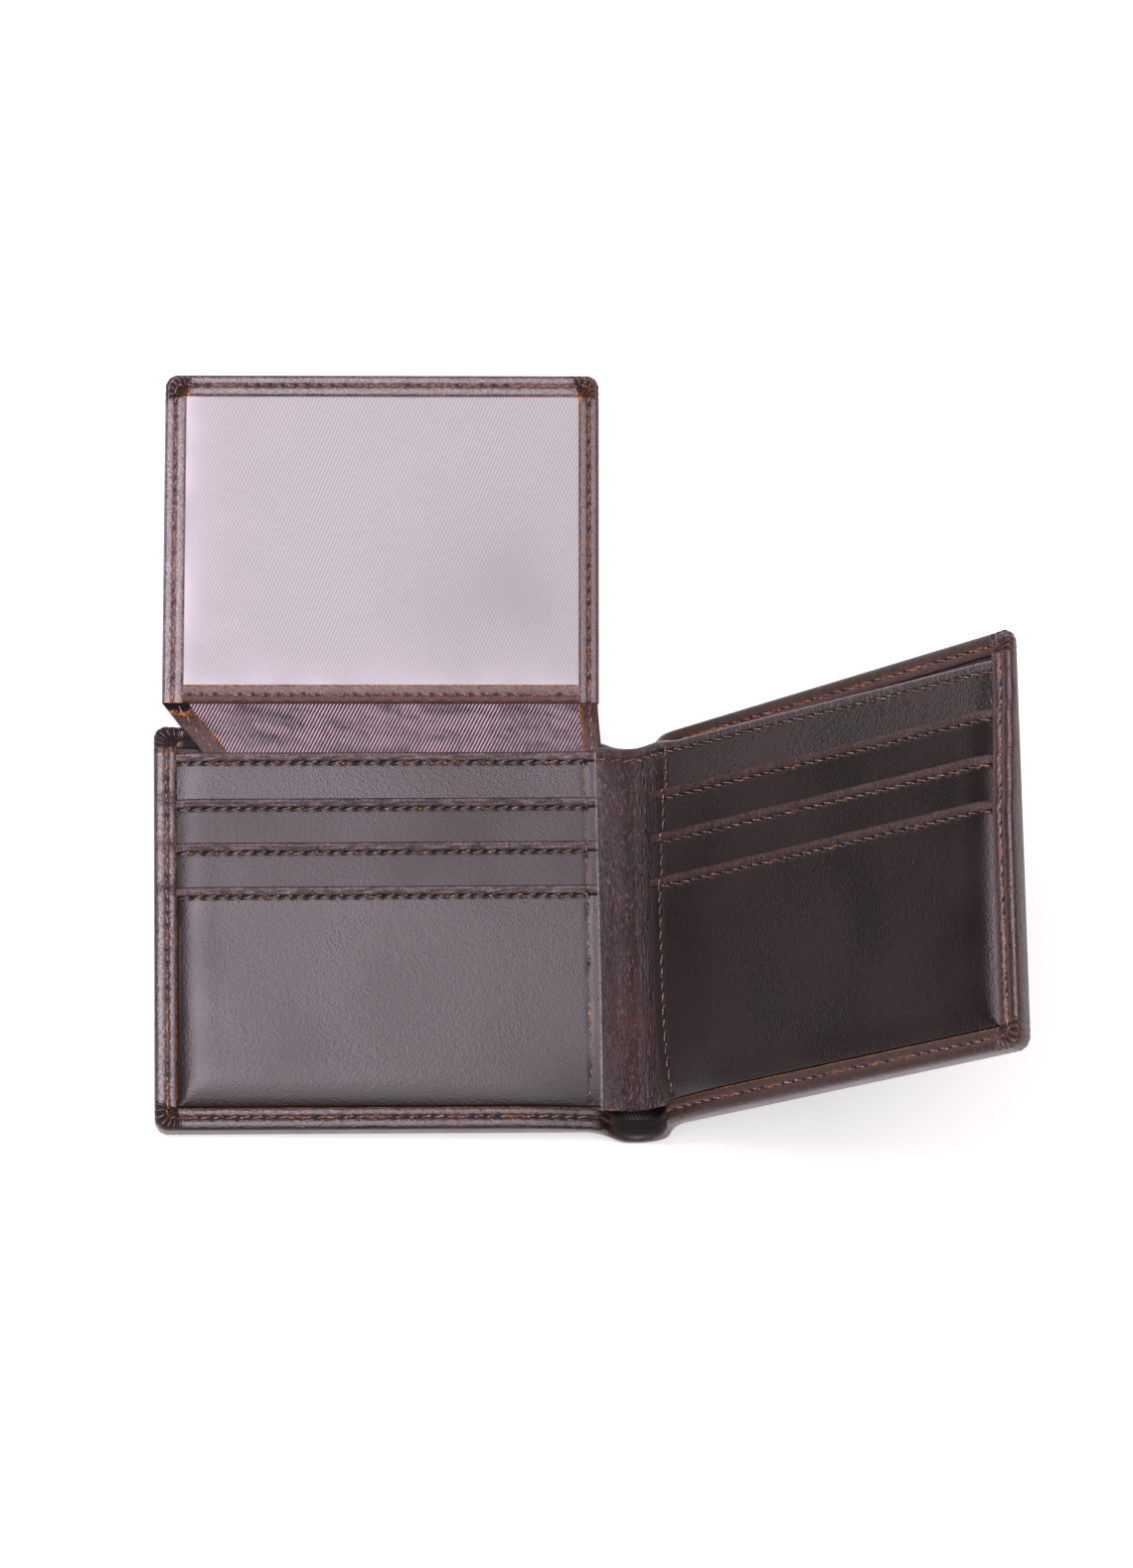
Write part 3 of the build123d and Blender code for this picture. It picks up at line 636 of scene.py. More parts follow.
def layer_paint(x, y, x0, y1, near, seed, highlight_strength):
    """Wear along a layer's free edges and hem, raw leather or painted shade in its stitch holes, and painted
    highlights along its mouth, hem and inner edge.
    """
    mottled = mottle(x, y, 5.0, 11.0 + seed)
    edge = np.minimum(y1 - y, (x - x0) * 1.4)
    wear_and_painted_light = 0.5 * np.exp(-np.clip(edge, 0, None) / 0.45) + 0.18 * bump(y1 - y, 1.3, 1.0)
    wear_and_painted_light = wear_and_painted_light * mottled + 0.36 * (1 - highlight_strength) * bump(y1 - y, 1.0, 1.2) * (0.5 + 0.5 * mottled)
    glint = waves(x, y, 3.0, 4.0) > 0.45
    crease_and_painted_light = 0.35 * in_hem(y1 - y)
    streaks = np.clip(0.3 + waves(x, y * 5, 3.0, 23.0 + seed), 0, 1)
    # painted highlights: two lines along the hem and one along the inner edge
    painted_highlight = 0.7 * bump(y1 - y, 0.6, 0.3) * (0.3 + 0.7 * mottled) + 0.5 * bump(y1 - y, 1.4, 0.5) * streaks
    painted_highlight = painted_highlight + bump(x - x0, 0.15, 0.35)
    paint = {"wear_and_painted_light": wear_and_painted_light, "raw": 0.7 * near * glint, "hole_shade": near * ~glint, "crease_and_painted_light": crease_and_painted_light}
    paint["painted_highlight"] = highlight_strength * painted_highlight
    return paint


def along_surface(half, hems=1.0):
    """Height function for stitches on top of a half's stack."""
    return lambda x, y: half.surface(x, y, hems) - 0.1


# ---- bent sections through the spine ----
def bezier(p0, p1, p2, p3, count=40):
    t = np.linspace(0, 1, count)[:, None]
    p0, p1, p2, p3 = (np.array(p, float) for p in (p0, p1, p2, p3))
    return (1 - t) ** 3 * p0 + 3 * t * (1 - t) ** 2 * p1 + 3 * t * t * (1 - t) * p2 + t**3 * p3


def spine_to_half(x, z):
    """A point of the spine's section, given from its left fold, in the left half's frame."""
    c, s = math.cos(HALF_FOLD), math.sin(HALF_FOLD)
    return -(x * c - z * s), x * s + z * c


class Section:
    """A bent line through the spine. u is x on the flat, and the length along the line past start."""

    def __init__(self, start, points):
        self.start = start
        self.points = np.array(points)
        steps = np.hypot(*np.diff(self.points, axis=0).T)
        self.along = np.concatenate([[0], np.cumsum(steps)])
        self.low = start - self.along[-1]
        ahead = np.gradient(self.points, self.along, axis=0)
        self.normal = np.stack([ahead[:, 1], -ahead[:, 0]], 1)
        self.normal /= np.linalg.norm(self.normal, axis=1)[:, None]

    def bend(self, points):
        """Vertices given as (u, y, height) moved to their place in the half frame."""
        points = np.array(points, float)
        past = np.clip(self.start - points[:, 0], 0, None)
        x, z = (np.interp(past, self.along, self.points[:, k]) for k in (0, 1))
        nx, nz = (np.interp(past, self.along, self.normal[:, k]) for k in (0, 1))
        bent = past > 0
        height = points[:, 2].copy()
        points[:, 0] = np.where(bent, x + nx * height, points[:, 0])
        points[:, 2] = np.where(bent, z + nz * height, height)
        return points


def cover_section():
    """The cover's middle line, from the flat, round the fold and along the bow to the spine's middle."""
    sagitta = -(spine_low[2]) - COVER_HALF
    half = CHORD / 2
    radius = (half**2 + sagitta**2) / (2 * sagitta)
    spread_angle = math.asin(half / radius) if sagitta < radius else math.pi - math.asin(half / radius)
    angles = np.linspace(-spread_angle + 0.42, 0, 50)
    bow = [(half + radius * math.sin(a), radius - sagitta - radius * math.cos(a)) for a in angles]
    arc = [spine_to_half(x, z) for x, z in bow]
    first, second = np.array(arc[0]), np.array(arc[1])
    ahead = (second - first) / np.linalg.norm(second - first)
    start = 4.5
    turn = bezier((start, 0), (start - 2.6, 0), first - ahead * 2.2, first, 30)
    return Section(start, list(turn[:-1]) + arc)


COVER_SECTION = cover_section()


# ---- turned edges ----
COVER_SEAM = 0.57  # the seam's place on a turned edge, as a share of its width
FLAP_SEAM = 0.5


class TurnedPath:
    """A path round the outside of a turned edge, with the inner end of the leather beside each point."""

    def __init__(self, outer, inner, radius, seam_inset):
        outer, inner = np.array(outer, float), np.array(inner, float)
        self.points, self.ends, self.fan, self.hole_shade, self.runs = [], [], [], [], []
        last = len(outer) - 1
        seam = []
        for k in range(last):
            along = (outer[k + 1] - outer[k]) / np.linalg.norm(outer[k + 1] - outer[k])
            start = FAN if k > 0 else 0
            stop = np.linalg.norm(outer[k + 1] - outer[k]) - (FAN if k < last - 1 else 0)
            pitches = round((stop - start) / PITCH)
            offset = inner[k] - outer[k]
            offset = offset - along * offset.dot(along)
            self.runs.append((len(self.points), pitches * STITCH_LINES + 1))
            for index, step in enumerate(np.linspace(start, stop, pitches * STITCH_LINES + 1)):
                point, at_hole = outer[k] + along * step, index % STITCH_LINES == 0
                self.add(point, point + offset, -1, at_hole)
                if at_hole:
                    seam.append(self.points[-1] + offset * seam_inset)
            if k < last - 1:
                corner = outer[k + 1] + (inner[k + 1] - outer[k + 1]) * seam_inset
                ahead = (outer[k + 2] - outer[k + 1]) / np.linalg.norm(outer[k + 2] - outer[k + 1])
                seam += [(seam[-1] + corner) / 2, corner, (corner + corner + ahead * (FAN - 3)) / 2]
                self.turn(outer[k + 1], inner[k + 1], along, ahead, radius)
        self.seam = np.array(seam)
        self.points, self.ends = np.array(self.points), np.array(self.ends)
        self.fan, self.hole_shade = np.array(self.fan), np.array(self.hole_shade, float)

    def add(self, point, end, fan, hole_shade):
        self.points.append(point)
        self.ends.append(end)
        self.fan.append(fan)
        self.hole_shade.append(hole_shade)

    def turn(self, corner, end, along, ahead, radius):
        """A rounded corner, whose points all run in to one inner end."""
        straight = FAN - radius
        total = 2 * straight + math.pi / 2 * radius
        for share in np.linspace(0, 1, 12 * PLEATS + 1)[1:-1]:
            travel = share * total
            if travel < straight:
                point = corner - along * (FAN - travel)
            elif travel > total - straight:
                point = corner + ahead * (FAN - total + travel)
            else:
                angle = (travel - straight) / radius
                centre = corner + radius * (ahead - along)
                point = centre + radius * (along * math.sin(angle) - ahead * math.cos(angle))
            self.add(point, end, share, False)

    def ring(self, inset, push=0.0):
        """The path moved in by a share of the turned edge's width, and out by push."""
        away = self.points - self.ends
        away = away / np.linalg.norm(away, axis=1)[:, None]
        return self.points + (self.ends - self.points) * inset + away * np.reshape(push, (-1, 1))


class Rings:
    """Rings of vertices along a turned edge's path, from one end of its section to the other, with paint."""

    def __init__(self, path):
        self.path = path
        self.rings = []
        self.paint = {key: [] for key in ("wear_and_painted_light", "raw", "hole_shade", "painted_highlight")}

    def add(self, inset, height, push=0.0, **painted):
        shape = self.path.fan.shape
        self.rings.append(np.column_stack([self.path.ring(inset, push), np.broadcast_to(height, shape)]))
        for key, layers in self.paint.items():
            layers.append(np.broadcast_to(painted.get(key, 0.0), shape))

    def all_paint(self):
        return {key: np.concatenate(layers) for key, layers in self.paint.items()}


def ring_faces(rings, count):
    return [
        (r * count + i, r * count + i + 1, (r + 1) * count + i + 1, (r + 1) * count + i)
        for r in range(rings - 1)
        for i in range(count - 1)
    ]


def spread_holes(hole_shade):
    """Marks of the stitch holes along a path, with half the mark on each neighbour."""
    return np.clip(hole_shade + 0.45 * np.roll(hole_shade, 1) + 0.45 * np.roll(hole_shade, -1), 0, 1)


def pleat(fan):
    """Folds that gather the leather round a corner: sharp valleys between rounded ridges."""
    inside = fan >= 0
    wave = np.abs(np.sin(math.pi * PLEATS * np.clip(fan, 0, 1) + 0.35 * np.sin(9 * fan)))
    envelope = smooth_step(fan, 0.0, 0.1) * (1 - smooth_step(fan, 0.9, 1.0))
    return np.where(inside, (wave - 0.75) * envelope, 0.0)


def folded_in(ridges):
    """How far inside a pleat's dark valley each point is."""
    return np.clip(-2.6 * ridges - 1.1, 0, 1)


TORN_HOLES = 0.55  # stitch holes are torn to raw leather where the noise is above this, and painted dark with shade elsewhere
# Rings of the cover's edge from its outside, round the fold and over the rim: (inset, is on the rim, drop),
# where the drop is measured up from the outside or down from the top of the rim.
COVER_RINGS = [
    (1.0, 0, 0), (0.8, 0, 0), (0.55, 0, 0), (0.35, 0, 0), (0.2, 0, 0.03), (0.1, 0, 0.14), (0.04, 0, 0.36),
    (0.01, 0, 0.7), (0.0, 1, 1.1), (0.012, 1, 0.74), (0.04, 1, 0.46), (0.085, 1, 0.25), (0.15, 1, 0.09),
    (0.23, 1, 0.01), (0.33, 1, 0.0), (0.47, 1, 0.03), (0.53, 1, 0.2), (COVER_SEAM, 1, SEAM_SINK),
    (0.61, 1, 0.2), (0.67, 1, 0.03), (0.8, 1, 0.0), (0.9, 1, 0.03), (0.96, 1, 0.14), (1.0, 1, 0.38),
]
# The skin's inside, from under the rim back to the plate: (inset, is under the rim, gap).
INSIDE_RINGS = [(1.0, 1, 0.0), (0.6, 1, 0.04), (0.28, 1, 0.13), (0.22, 0, 0.4), (0.3, 0, 0.02), (1.0, 0, 0)]


def cover_rings(half, path):
    """Every ring of a cover's turned edge."""
    edge = Rings(path)
    x, y = path.points[:, 0], path.points[:, 1]
    rim_top = half.rim_level(path)
    ridges = pleat(path.fan)
    torn_out = mottle(x, y, 6.0, 2.0)
    holes = spread_holes(path.hole_shade)
    top_run = (path.fan < 0) & (y > HEIGHT - 1)
    foot_run = (y < 1) * (1 - smooth_step(x, -2.5, 0.5))
    # painted highlight along the rim of the left half's outer side, which faces the light
    side_run = (not half.right) * (path.fan < 0) * (x > WIDTH - 1)
    for inset, on_rim, drop in COVER_RINGS:
        lip = on_rim * smooth_step(inset, 0.0, 0.12)
        seam = on_rim * bump(inset, COVER_SEAM, 0.06)
        height = rim_top - drop if on_rim else drop - COVER_HALF
        height = height + 0.75 * ridges * lip * (1 - 0.5 * inset) - 0.3 * holes * seam
        push = (1 - smooth_step(inset, 0.0, 0.3)) * 0.12 * ridges
        rolled = (1 - smooth_step(inset, 0.02, 0.16)) * (0.15 if half.right else 0.4)
        # painted shade: the right half's rim is painted redder and rougher, for its dimmer reflection
        shaded_right_rim = half.right * on_rim * (0.3 - 0.2 * bump(inset, 0.28, 0.08))
        torn = smooth_step(inset, 0.93, 0.99) * on_rim * (0.25 + 0.6 * torn_out) * ~top_run
        # painted shade: near black along the left half's top run and at the foot beside the spine, where
        # shade falls
        hidden = on_rim * ((top_run & ~half.right) * 0.85 + foot_run) * smooth_step(inset, 0.1, 0.4)
        # the stitch holes and the pleats' valleys are darkened with painted shade
        edge.add(
            inset, height, push,
            wear_and_painted_light=(rolled + 0.35 * seam + 0.2 * (path.fan >= 0) * lip) * torn_out + shaded_right_rim,
            raw=(torn + 0.7 * holes * seam * (torn_out > TORN_HOLES)) * (1 - foot_run),
            hole_shade=holes * seam * (torn_out <= TORN_HOLES) + 0.8 * folded_in(ridges) * lip + hidden,
            painted_highlight=0.55 * side_run * on_rim * bump(inset, 0.35, 0.25) * (0.6 + 0.4 * torn_out),
        )
    for inset, under_rim, gap in INSIDE_RINGS:
        level = COVER_HALF + gap
        if under_rim:
            level = np.maximum(rim_top - RIM_LEATHER - gap, COVER_HALF + 0.05)
        edge.add(inset, level)
    return edge


def plate(path, ring, first, height):
    """The flat of the cover inside a ring of its turned edge: new vertices, and polygons facing up."""
    (_, top_run), (side_first, side_run), (bottom_first, _) = path.runs
    count = len(path.points)
    columns = [j for j in range(top_run) if path.points[j, 0] < COVER_SECTION.start]
    columns += list(range(columns[-1] + STITCH_LINES, top_run - 1, STITCH_LINES)) + [top_run - 1]
    rows = list(range(0, side_run, STITCH_LINES))
    base = ring * count
    new = [(path.points[j, 0], path.points[side_first + r, 1], height) for r in rows for j in columns]
    last_row, last_column = len(rows) - 1, len(columns) - 1

    def middle(row, column):
        return first + row * len(columns) + column

    def side_chain(row):
        return [base + side_first + k for k in range(rows[row], rows[row + 1] + 1)]

    polygons = []
    for c in range(last_column):
        steps = range(columns[c], columns[c + 1] + 1)
        polygons.append([base + k for k in steps] + [middle(0, c + 1), middle(0, c)])
        bottom = [base + count - 1 - k for k in steps]
        polygons.append([middle(last_row, c), middle(last_row, c + 1)] + bottom[::-1])
        for r in range(last_row):
            polygons.append([middle(r, c), middle(r, c + 1), middle(r + 1, c + 1), middle(r + 1, c)])
    for r in range(last_row):
        polygons.append([middle(r, last_column)] + side_chain(r) + [middle(r + 1, last_column)])
    side_last = base + side_first + side_run - 1
    polygons.append([base + top_run - 1, base + top_run, base + side_first, middle(0, last_column)])
    low_corner = base + bottom_first
    polygons.append([middle(last_row, last_column), side_last, low_corner - 1, low_corner])
    return new, polygons


def cover_piece(half):
    """Outer leather of one half and of its side of the spine: one skin with its edges turned in."""
    low = COVER_SECTION.low
    outer = [(low, HEIGHT), (WIDTH, HEIGHT), (WIDTH, 0), (low, 0)]
    inner = [(low, HEIGHT - RIM), (WIDTH - RIM, HEIGHT - RIM), (WIDTH - RIM, RIM), (low, RIM)]
    path = TurnedPath(outer, inner, 3.2, COVER_SEAM)
    edge = cover_rings(half, path)
    count = len(edge.rings)
    vertices = list(np.concatenate(edge.rings))
    faces = ring_faces(count, len(path.points))
    for ring, height, outward in ((0, -COVER_HALF, True), (count - 1, COVER_HALF, False)):
        new, polygons = plate(path, ring, len(vertices), height)
        vertices += new
        faces += [tuple(polygon if outward else polygon[::-1]) for polygon in polygons]
    bare = np.zeros(len(vertices) - count * len(path.points))
    paint = {key: np.concatenate([values, bare]) for key, values in edge.all_paint().items()}
    shape = cover_shape(vertices)
    name = "outer_cover_" + half.side
    piece = build(name, shape, faces, half.where, COVER_LEATHER, paint, merge=0.002, close=True)
    return piece, path


def dip(points):
    """The cover's outline: its top falls towards the spine, and its foot bows out there."""
    points = np.array(points, float)
    share = 1 - np.clip(points[:, 0], 0, WIDTH) / WIDTH
    on_spine = 1 - smooth_step(points[:, 0], -6, 1)
    fall = (HEIGHT - HEIGHT_AT_FOLD) * share + (HEIGHT_AT_FOLD - spine_high[1]) * on_spine
    foot = spine_low[1] * (1 - smooth_step(points[:, 0], -6, 5))
    y = points[:, 1].copy()
    points[:, 1] = y - fall * smooth_step(y, HEIGHT * 0.3, HEIGHT * 0.9)
    points[:, 1] += foot * (1 - smooth_step(y, 0, HEIGHT * 0.5))
    return points


def cover_shape(points):
    """Flat points of the cover, its lining or its seam, moved to their place in the half frame."""
    return COVER_SECTION.bend(dip(points))


def fold_blend(piece, side):
    """Bakes a piece's placement into its mesh, the same way for either side."""
    ahead = np.array([1 + math.sin(HALF_FOLD + 0.05), math.cos(HALF_FOLD)])
    ahead /= np.linalg.norm(ahead)
    if side == "right":
        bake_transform(piece)
    else:
        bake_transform(piece)


def cover_height(half):
    """Height of the turned edge's seam, by place on the flat: low over the fold, on the stack elsewhere."""
    def height(x, y):
        under_x, under_y = np.clip(x, 0.5, WIDTH - RIM), np.clip(y, RIM, HEIGHT - RIM)
        stack = half.surface(under_x, under_y, soft=2.5) + RIM_LEATHER
        low_top = 1 - smooth_step(y, HEIGHT - FAN, HEIGHT - 2)
        return HEM_TOP + (stack - HEM_TOP) * smooth_step(x, -0.4, 2.4) * low_top - SEAM_SINK
    return height


THIN_EDGES = (0.1, 0.1, 0.1, 0.1)  # of a film or a fabric


def cover_lining(half):
    """Twill inside the cover, tucked under its turned edges, and on over its side of the spine."""
    xs = grid_lines(COVER_SECTION.low, WIDTH - RIM + UNDER_RIM, 1.6, [0.0], 0.3, 6.0)
    ys = grid_lines(RIM - UNDER_RIM, HEIGHT - RIM + UNDER_RIM, 3.0)
    x, y = np.meshgrid(xs, ys)
    slack = 0.12 * mottle(x, y, 17.0, 5.0) * smooth_step(x, 4, 12)
    back = COVER_HALF + 0.02 + slack
    piece = build_sheet(
        "cover_lining_twill_" + half.side, x, y, back + 0.16, back, THIN_EDGES, half.where, SHADED_LINING_TWILL,
        shape=cover_shape,
    )
    fold_blend(piece, half.side)
    spine_node = ["cover_lining_spine"] if half.side == "left" else []
    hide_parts("cover_lining_" + half.side, *spine_node)


def flat_size(x, y):
    """Width and length of a sheet cut on a grid of millimetres, in metres."""
    return (float(x.max() - x.min()) / 1000, float(y.max() - y.min()) / 1000)


# ---- the leather that lines the spine ----
def valley():
    """The lowest line of the spine's lining, halfway between the folds, and the way on from there."""
    here = np.array(spine_to_half(CHORD / 2, LINING_VALLEY))
    ahead = np.array(spine_to_half(CHORD / 2 + 1, LINING_VALLEY)) - here
    return here, ahead


RUBBED_AT = 24  # height above the foot at which the spine's lining is rubbed red
LINING_VALLEY = -2.6  # height of the lining's middle in the spine frame
LINING_END = 1.3  # how far the left lining runs in under the base panel
LINING_HALF = 0.4  # half the lining's thickness
LINING_LAP = 0.5  # each lining runs on past the middle, so that no gap shows between them
low_point, onward = valley()
LEFT_LINING = Section(
    LINING_END,
    bezier((LINING_END, 1.85), (-1.0, 1.85), low_point - onward * 3.2, low_point + onward * LINING_LAP),
)
panel_middle = (panel_low[2] + panel_high[2]) / 2
RIGHT_START = 5.0  # the right panel is flat from here on
RIGHT_LINING = Section(
    RIGHT_START,
    bezier(
        (RIGHT_START, panel_middle), (1.0, panel_middle), low_point - onward * 4.2,
        low_point + onward * LINING_LAP,
    ),
)


def lining_shape(half, section, middle):
    """Bends flat points with absolute heights through the spine, then settles them."""
    def shape(points):
        points = np.array(points, float)
        points[:, 2] -= middle
        past = points[:, 0] < section.start
        bent = section.bend(points)
        bent[~past, 2] += middle
        bent[:, 2] = settle(bent[:, 0], bent[:, 1], bent[:, 2], half.right)
        return bent
    return shape


def lining_sheet(half, section, middle, x1, low, high, seam, name, replaced):
    """The lining of one side of the spine. low and high give its bottom and top edge along x."""
    x, share = np.meshgrid(grid_lines(section.low, x1, GRID_STEP), hem_lines(0, PANEL_TOP) / PANEL_TOP)
    y = low(x) + (high(x) - low(x)) * share
    groove, near = relief(x, y, seam)
    on_spine = 1 - smooth_step(x, -2.5, 2.5)
    puckers = 0.05 * waves(x * 4, y * 0.9, 5.0, 21.0) * on_spine * (1 - bump(high(x) - y, 1.0, 2.0))
    front = middle + LINING_HALF + hem_relief(high(x) - y) - groove + puckers
    if half.right:
        upright, near_upright = relief(x, y, half.upright)
        front, near = front - 0.8 * upright, np.maximum(near, near_upright)
    mottled = mottle(x, y, 4.0, 31.0)
    edge = high(x) - y
    # painted shade: the spine's right side, turned from the light, gets half the wear and wrinkle paint
    lit_side_share = 0.5 if half.right else 1.0
    wear_and_painted_light = (0.5 * np.exp(-edge / 0.5) + 0.45 * on_spine * bump(edge, 1.6, 1.4)) * mottled
    wear_and_painted_light = wear_and_painted_light + lit_side_share * on_spine * (0.12 + 0.3 * np.clip(waves(x * 4, y * 0.9, 5.0, 21.0), 0, 1))
    wear_and_painted_light = wear_and_painted_light + 0.5 * on_spine * bump(y, RUBBED_AT, 9) * (0.4 + 0.6 * mottled)
    torn = on_spine * bump(y - low(x), 0.0, 0.4) * (0.3 + 0.7 * mottled)
    torn = torn * smooth_step(np.abs(x + 7), 3.0, 6.0)
    crease_and_painted_light = on_spine * 0.9 * (0.35 + 0.65 * lit_side_share) + (1 - on_spine) * 0.4 * in_hem(edge)
    # the dark in the stitch holes is painted shade
    paint = {"wear_and_painted_light": wear_and_painted_light, "raw": 0.25 * near + torn, "hole_shade": 0.75 * near, "crease_and_painted_light": crease_and_painted_light}
    # painted highlight along the panel's top edge
    paint["painted_highlight"] = (1 - on_spine) * bump(edge, 0.1, 0.3)
    if not half.right:
        # painted sheen on the left side of the spine
        gloss = mottle(x * 3, y, 9.0, 41.0)
        paint["painted_highlight"] = paint["painted_highlight"] + 0.22 * on_spine * bump(x, -3.0, 2.2) * gloss
    piece = build_sheet(
        name, x, y, front, middle - LINING_HALF, (0.1, 0.4, 0.5, 0.75), half.where, SPINE_LEATHER, paint,
        lining_shape(half, section, middle),
    )
    fold_blend(piece, half.side)
    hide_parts(*replaced)


def spine_linings(halves):
    """The two stretches of leather that meet at the bottom of the spine's valley, and their hem seam."""
    left, right = halves["left"], halves["right"]

    def right_low(x):
        return 1.6 + (lining_low[1] - 1.6) * (1 - smooth_step(x, 0.2, 3.4))

    def right_high(x):
        return PANEL_TOP + (lining_high[1] - PANEL_TOP) * (1 - smooth_step(x, -1.0, 8.0))

    seam_y = lining_high[1] - MOUTH_SEAM - 0.5
    left_middle = float(LEFT_LINING.points[0][1])
    left_seam = stations([(LEFT_LINING.low, seam_y), (LINING_END - 0.6, seam_y)])
    lining_sheet(
        left, LEFT_LINING, left_middle, LINING_END, level_at(lining_low[1]), level_at(lining_high[1]),
        left_seam, "spine_lining_left", ["spine_lining"],
    )
    hem_y = PANEL_TOP - MOUTH_SEAM
    right_seam = [(RIGHT_LINING.low, seam_y), (-1.0, seam_y), (8.0, hem_y), (SEAM_END, hem_y)]
    right_seam = stations(right_seam)
    lining_sheet(
        right, RIGHT_LINING, panel_middle, WIDTH - RIM + UNDER_RIM, right_low, right_high, right_seam,
        "panel_and_spine_lining_right", ["base_panel_right"],
    )
    hem = HEM_RISE * 0.8 - 0.1
    left_level, right_level = (level_at(middle + LINING_HALF + hem) for middle in (left_middle, panel_middle))
    hem_left = stitches(
        "spine_hem_stitches", [(left_seam, left_level)], LEFT, ["spine_hem_thread"], SHADED_THREAD,
        lining_shape(left, LEFT_LINING, left_middle),
    )
    fold_blend(hem_left, "left")
    hem_right = stitches(
        "panel_hem_stitches_right", [(right_seam, right_level)], RIGHT, ["panel_hem_thread_right"],
        SHADED_THREAD, lining_shape(right, RIGHT_LINING, panel_middle),
    )
    fold_blend(hem_right, "right")


# ---- both halves ----
halves = {side: Half(side) for side in ("left", "right")}
for side, half in halves.items():
    cover, path = cover_piece(half)
    fold_blend(cover, side)
    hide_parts("cover_" + side, *(["cover_spine"] if side == "left" else []))
    cover_lining(half)
    shown = (path.seam[:, 0] > 1.5) | (path.seam[:, 1] > HEIGHT / 2)
    if side == "left":
        shown &= path.seam[:, 1] < HEIGHT - FAN
    rim_rows = [(path.seam[shown], cover_height(half)), (path.seam, level_at(0.02 - COVER_HALF), -1)]
    rim_seam = stitches(
        "rim_stitches_" + side, rim_rows, half.where, ["rim_thread_" + side, "cover_hem_thread_" + side],
        PEACH_THREAD, cover_shape,
    )
    fold_blend(rim_seam, side)
    for index, name in enumerate(pocket_names):
        label = "pocket_" + name.rsplit("_", 1)[1] + "_" + side
        foot = max(pockets[index][0][1], RIM - UNDER_RIM)
        layer_piece(half, index + 1, label, SEAM_EDGE, foot, [name + "_" + side])
    on_top = along_surface(half)
    stitches(
        "pocket_stitches_" + side, [(row, on_top) for row in half.rows[1:]], half.where,
        ["pocket_threads_" + side], SHADED_THREAD, body=half.body,
    )
    stitches(
        "inner_seam_stitches_" + side, [(half.upright, on_top)], half.where,
        ["inner_seam_thread_" + side], SHADED_THREAD, body=half.body,
    )
left_half = halves["left"]
layer_piece(left_half, 0, "panel_left", SEAM_EDGE, 1.6, ["base_panel_left"])
stitches(
    "panel_hem_stitches_left", [(left_half.rows[0], along_surface(left_half))], LEFT,
    ["panel_hem_thread_left"], SHADED_THREAD, body="left_half",
)
spine_linings(halves)


# ---- the flap ----
FLAP_X0, FLAP_X1 = flap_low[0], flap_high[0]
FLAP_Y0, FLAP_Y1 = flap_low[1] - 0.6, flap_high[1] - 0.4
FLAP_FRONT, FLAP_BACK = flap_high[2], flap_low[2]
FLAP_MIDDLE = (FLAP_FRONT + FLAP_BACK) / 2
FLAP_HALF = (FLAP_FRONT - FLAP_BACK) / 2
FLAP_RIM, FLAP_RIGHT_RIM, FLAP_TOP_RIM = 4.85, 4.6, 5.0
FLAP_BAND = band_high[1] - band_low[1] - 0.5
BAND_SEAM = 2.0  # from the band's lower edge up to its seam
FLAP_SKIN = 0.6
FLAP_SINK = 0.32
FLAP_ROLL = 0.17  # the rounded edge, as a share of the rim's width
FLAP_TURN = math.radians(0.17)  # the flap's long edges lie slightly turned in its own plane
FLAP_LEAN = math.radians(0.82)  # and its short edges a little more
# One face of the flap's rim from its inner edge to its roll: (inset, drop).
FLAP_FACE = [
    (1.0, 0.5), (0.985, 0.24), (0.95, 0.1), (0.88, 0.01), (0.7, 0.0), (0.58, 0.03), (0.535, 0.18),
    (FLAP_SEAM, FLAP_SINK), (0.465, 0.18), (0.42, 0.03), (0.32, 0.0), (0.22, 0.0),
]


def flap_shape(points):
    """The flap lies a little turned and very slightly bowed."""
    points = np.array(points, float)
    held = smooth_step(points[:, 1], 0.5, FLAP_Y0)
    x = points[:, 0] - (FLAP_X0 + FLAP_X1) / 2
    y = points[:, 1] - FLAP_Y0
    points[:, 0] += held * math.tan(FLAP_LEAN) * (y - 0.5 * (FLAP_Y1 - FLAP_Y0))
    points[:, 1] -= held * math.tan(FLAP_TURN) * x
    points[:, 2] -= held * 0.08 * np.sin(math.pi * np.clip(y / (FLAP_Y1 - FLAP_Y0), 0, 1))
    return points


def flap_sheet(name, x, y, front, back, edges, material, replaced, paint):
    piece = build_sheet(name, x, y, front, back, edges, FLAP, material, paint, flap_shape)
    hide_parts(replaced)
    return piece


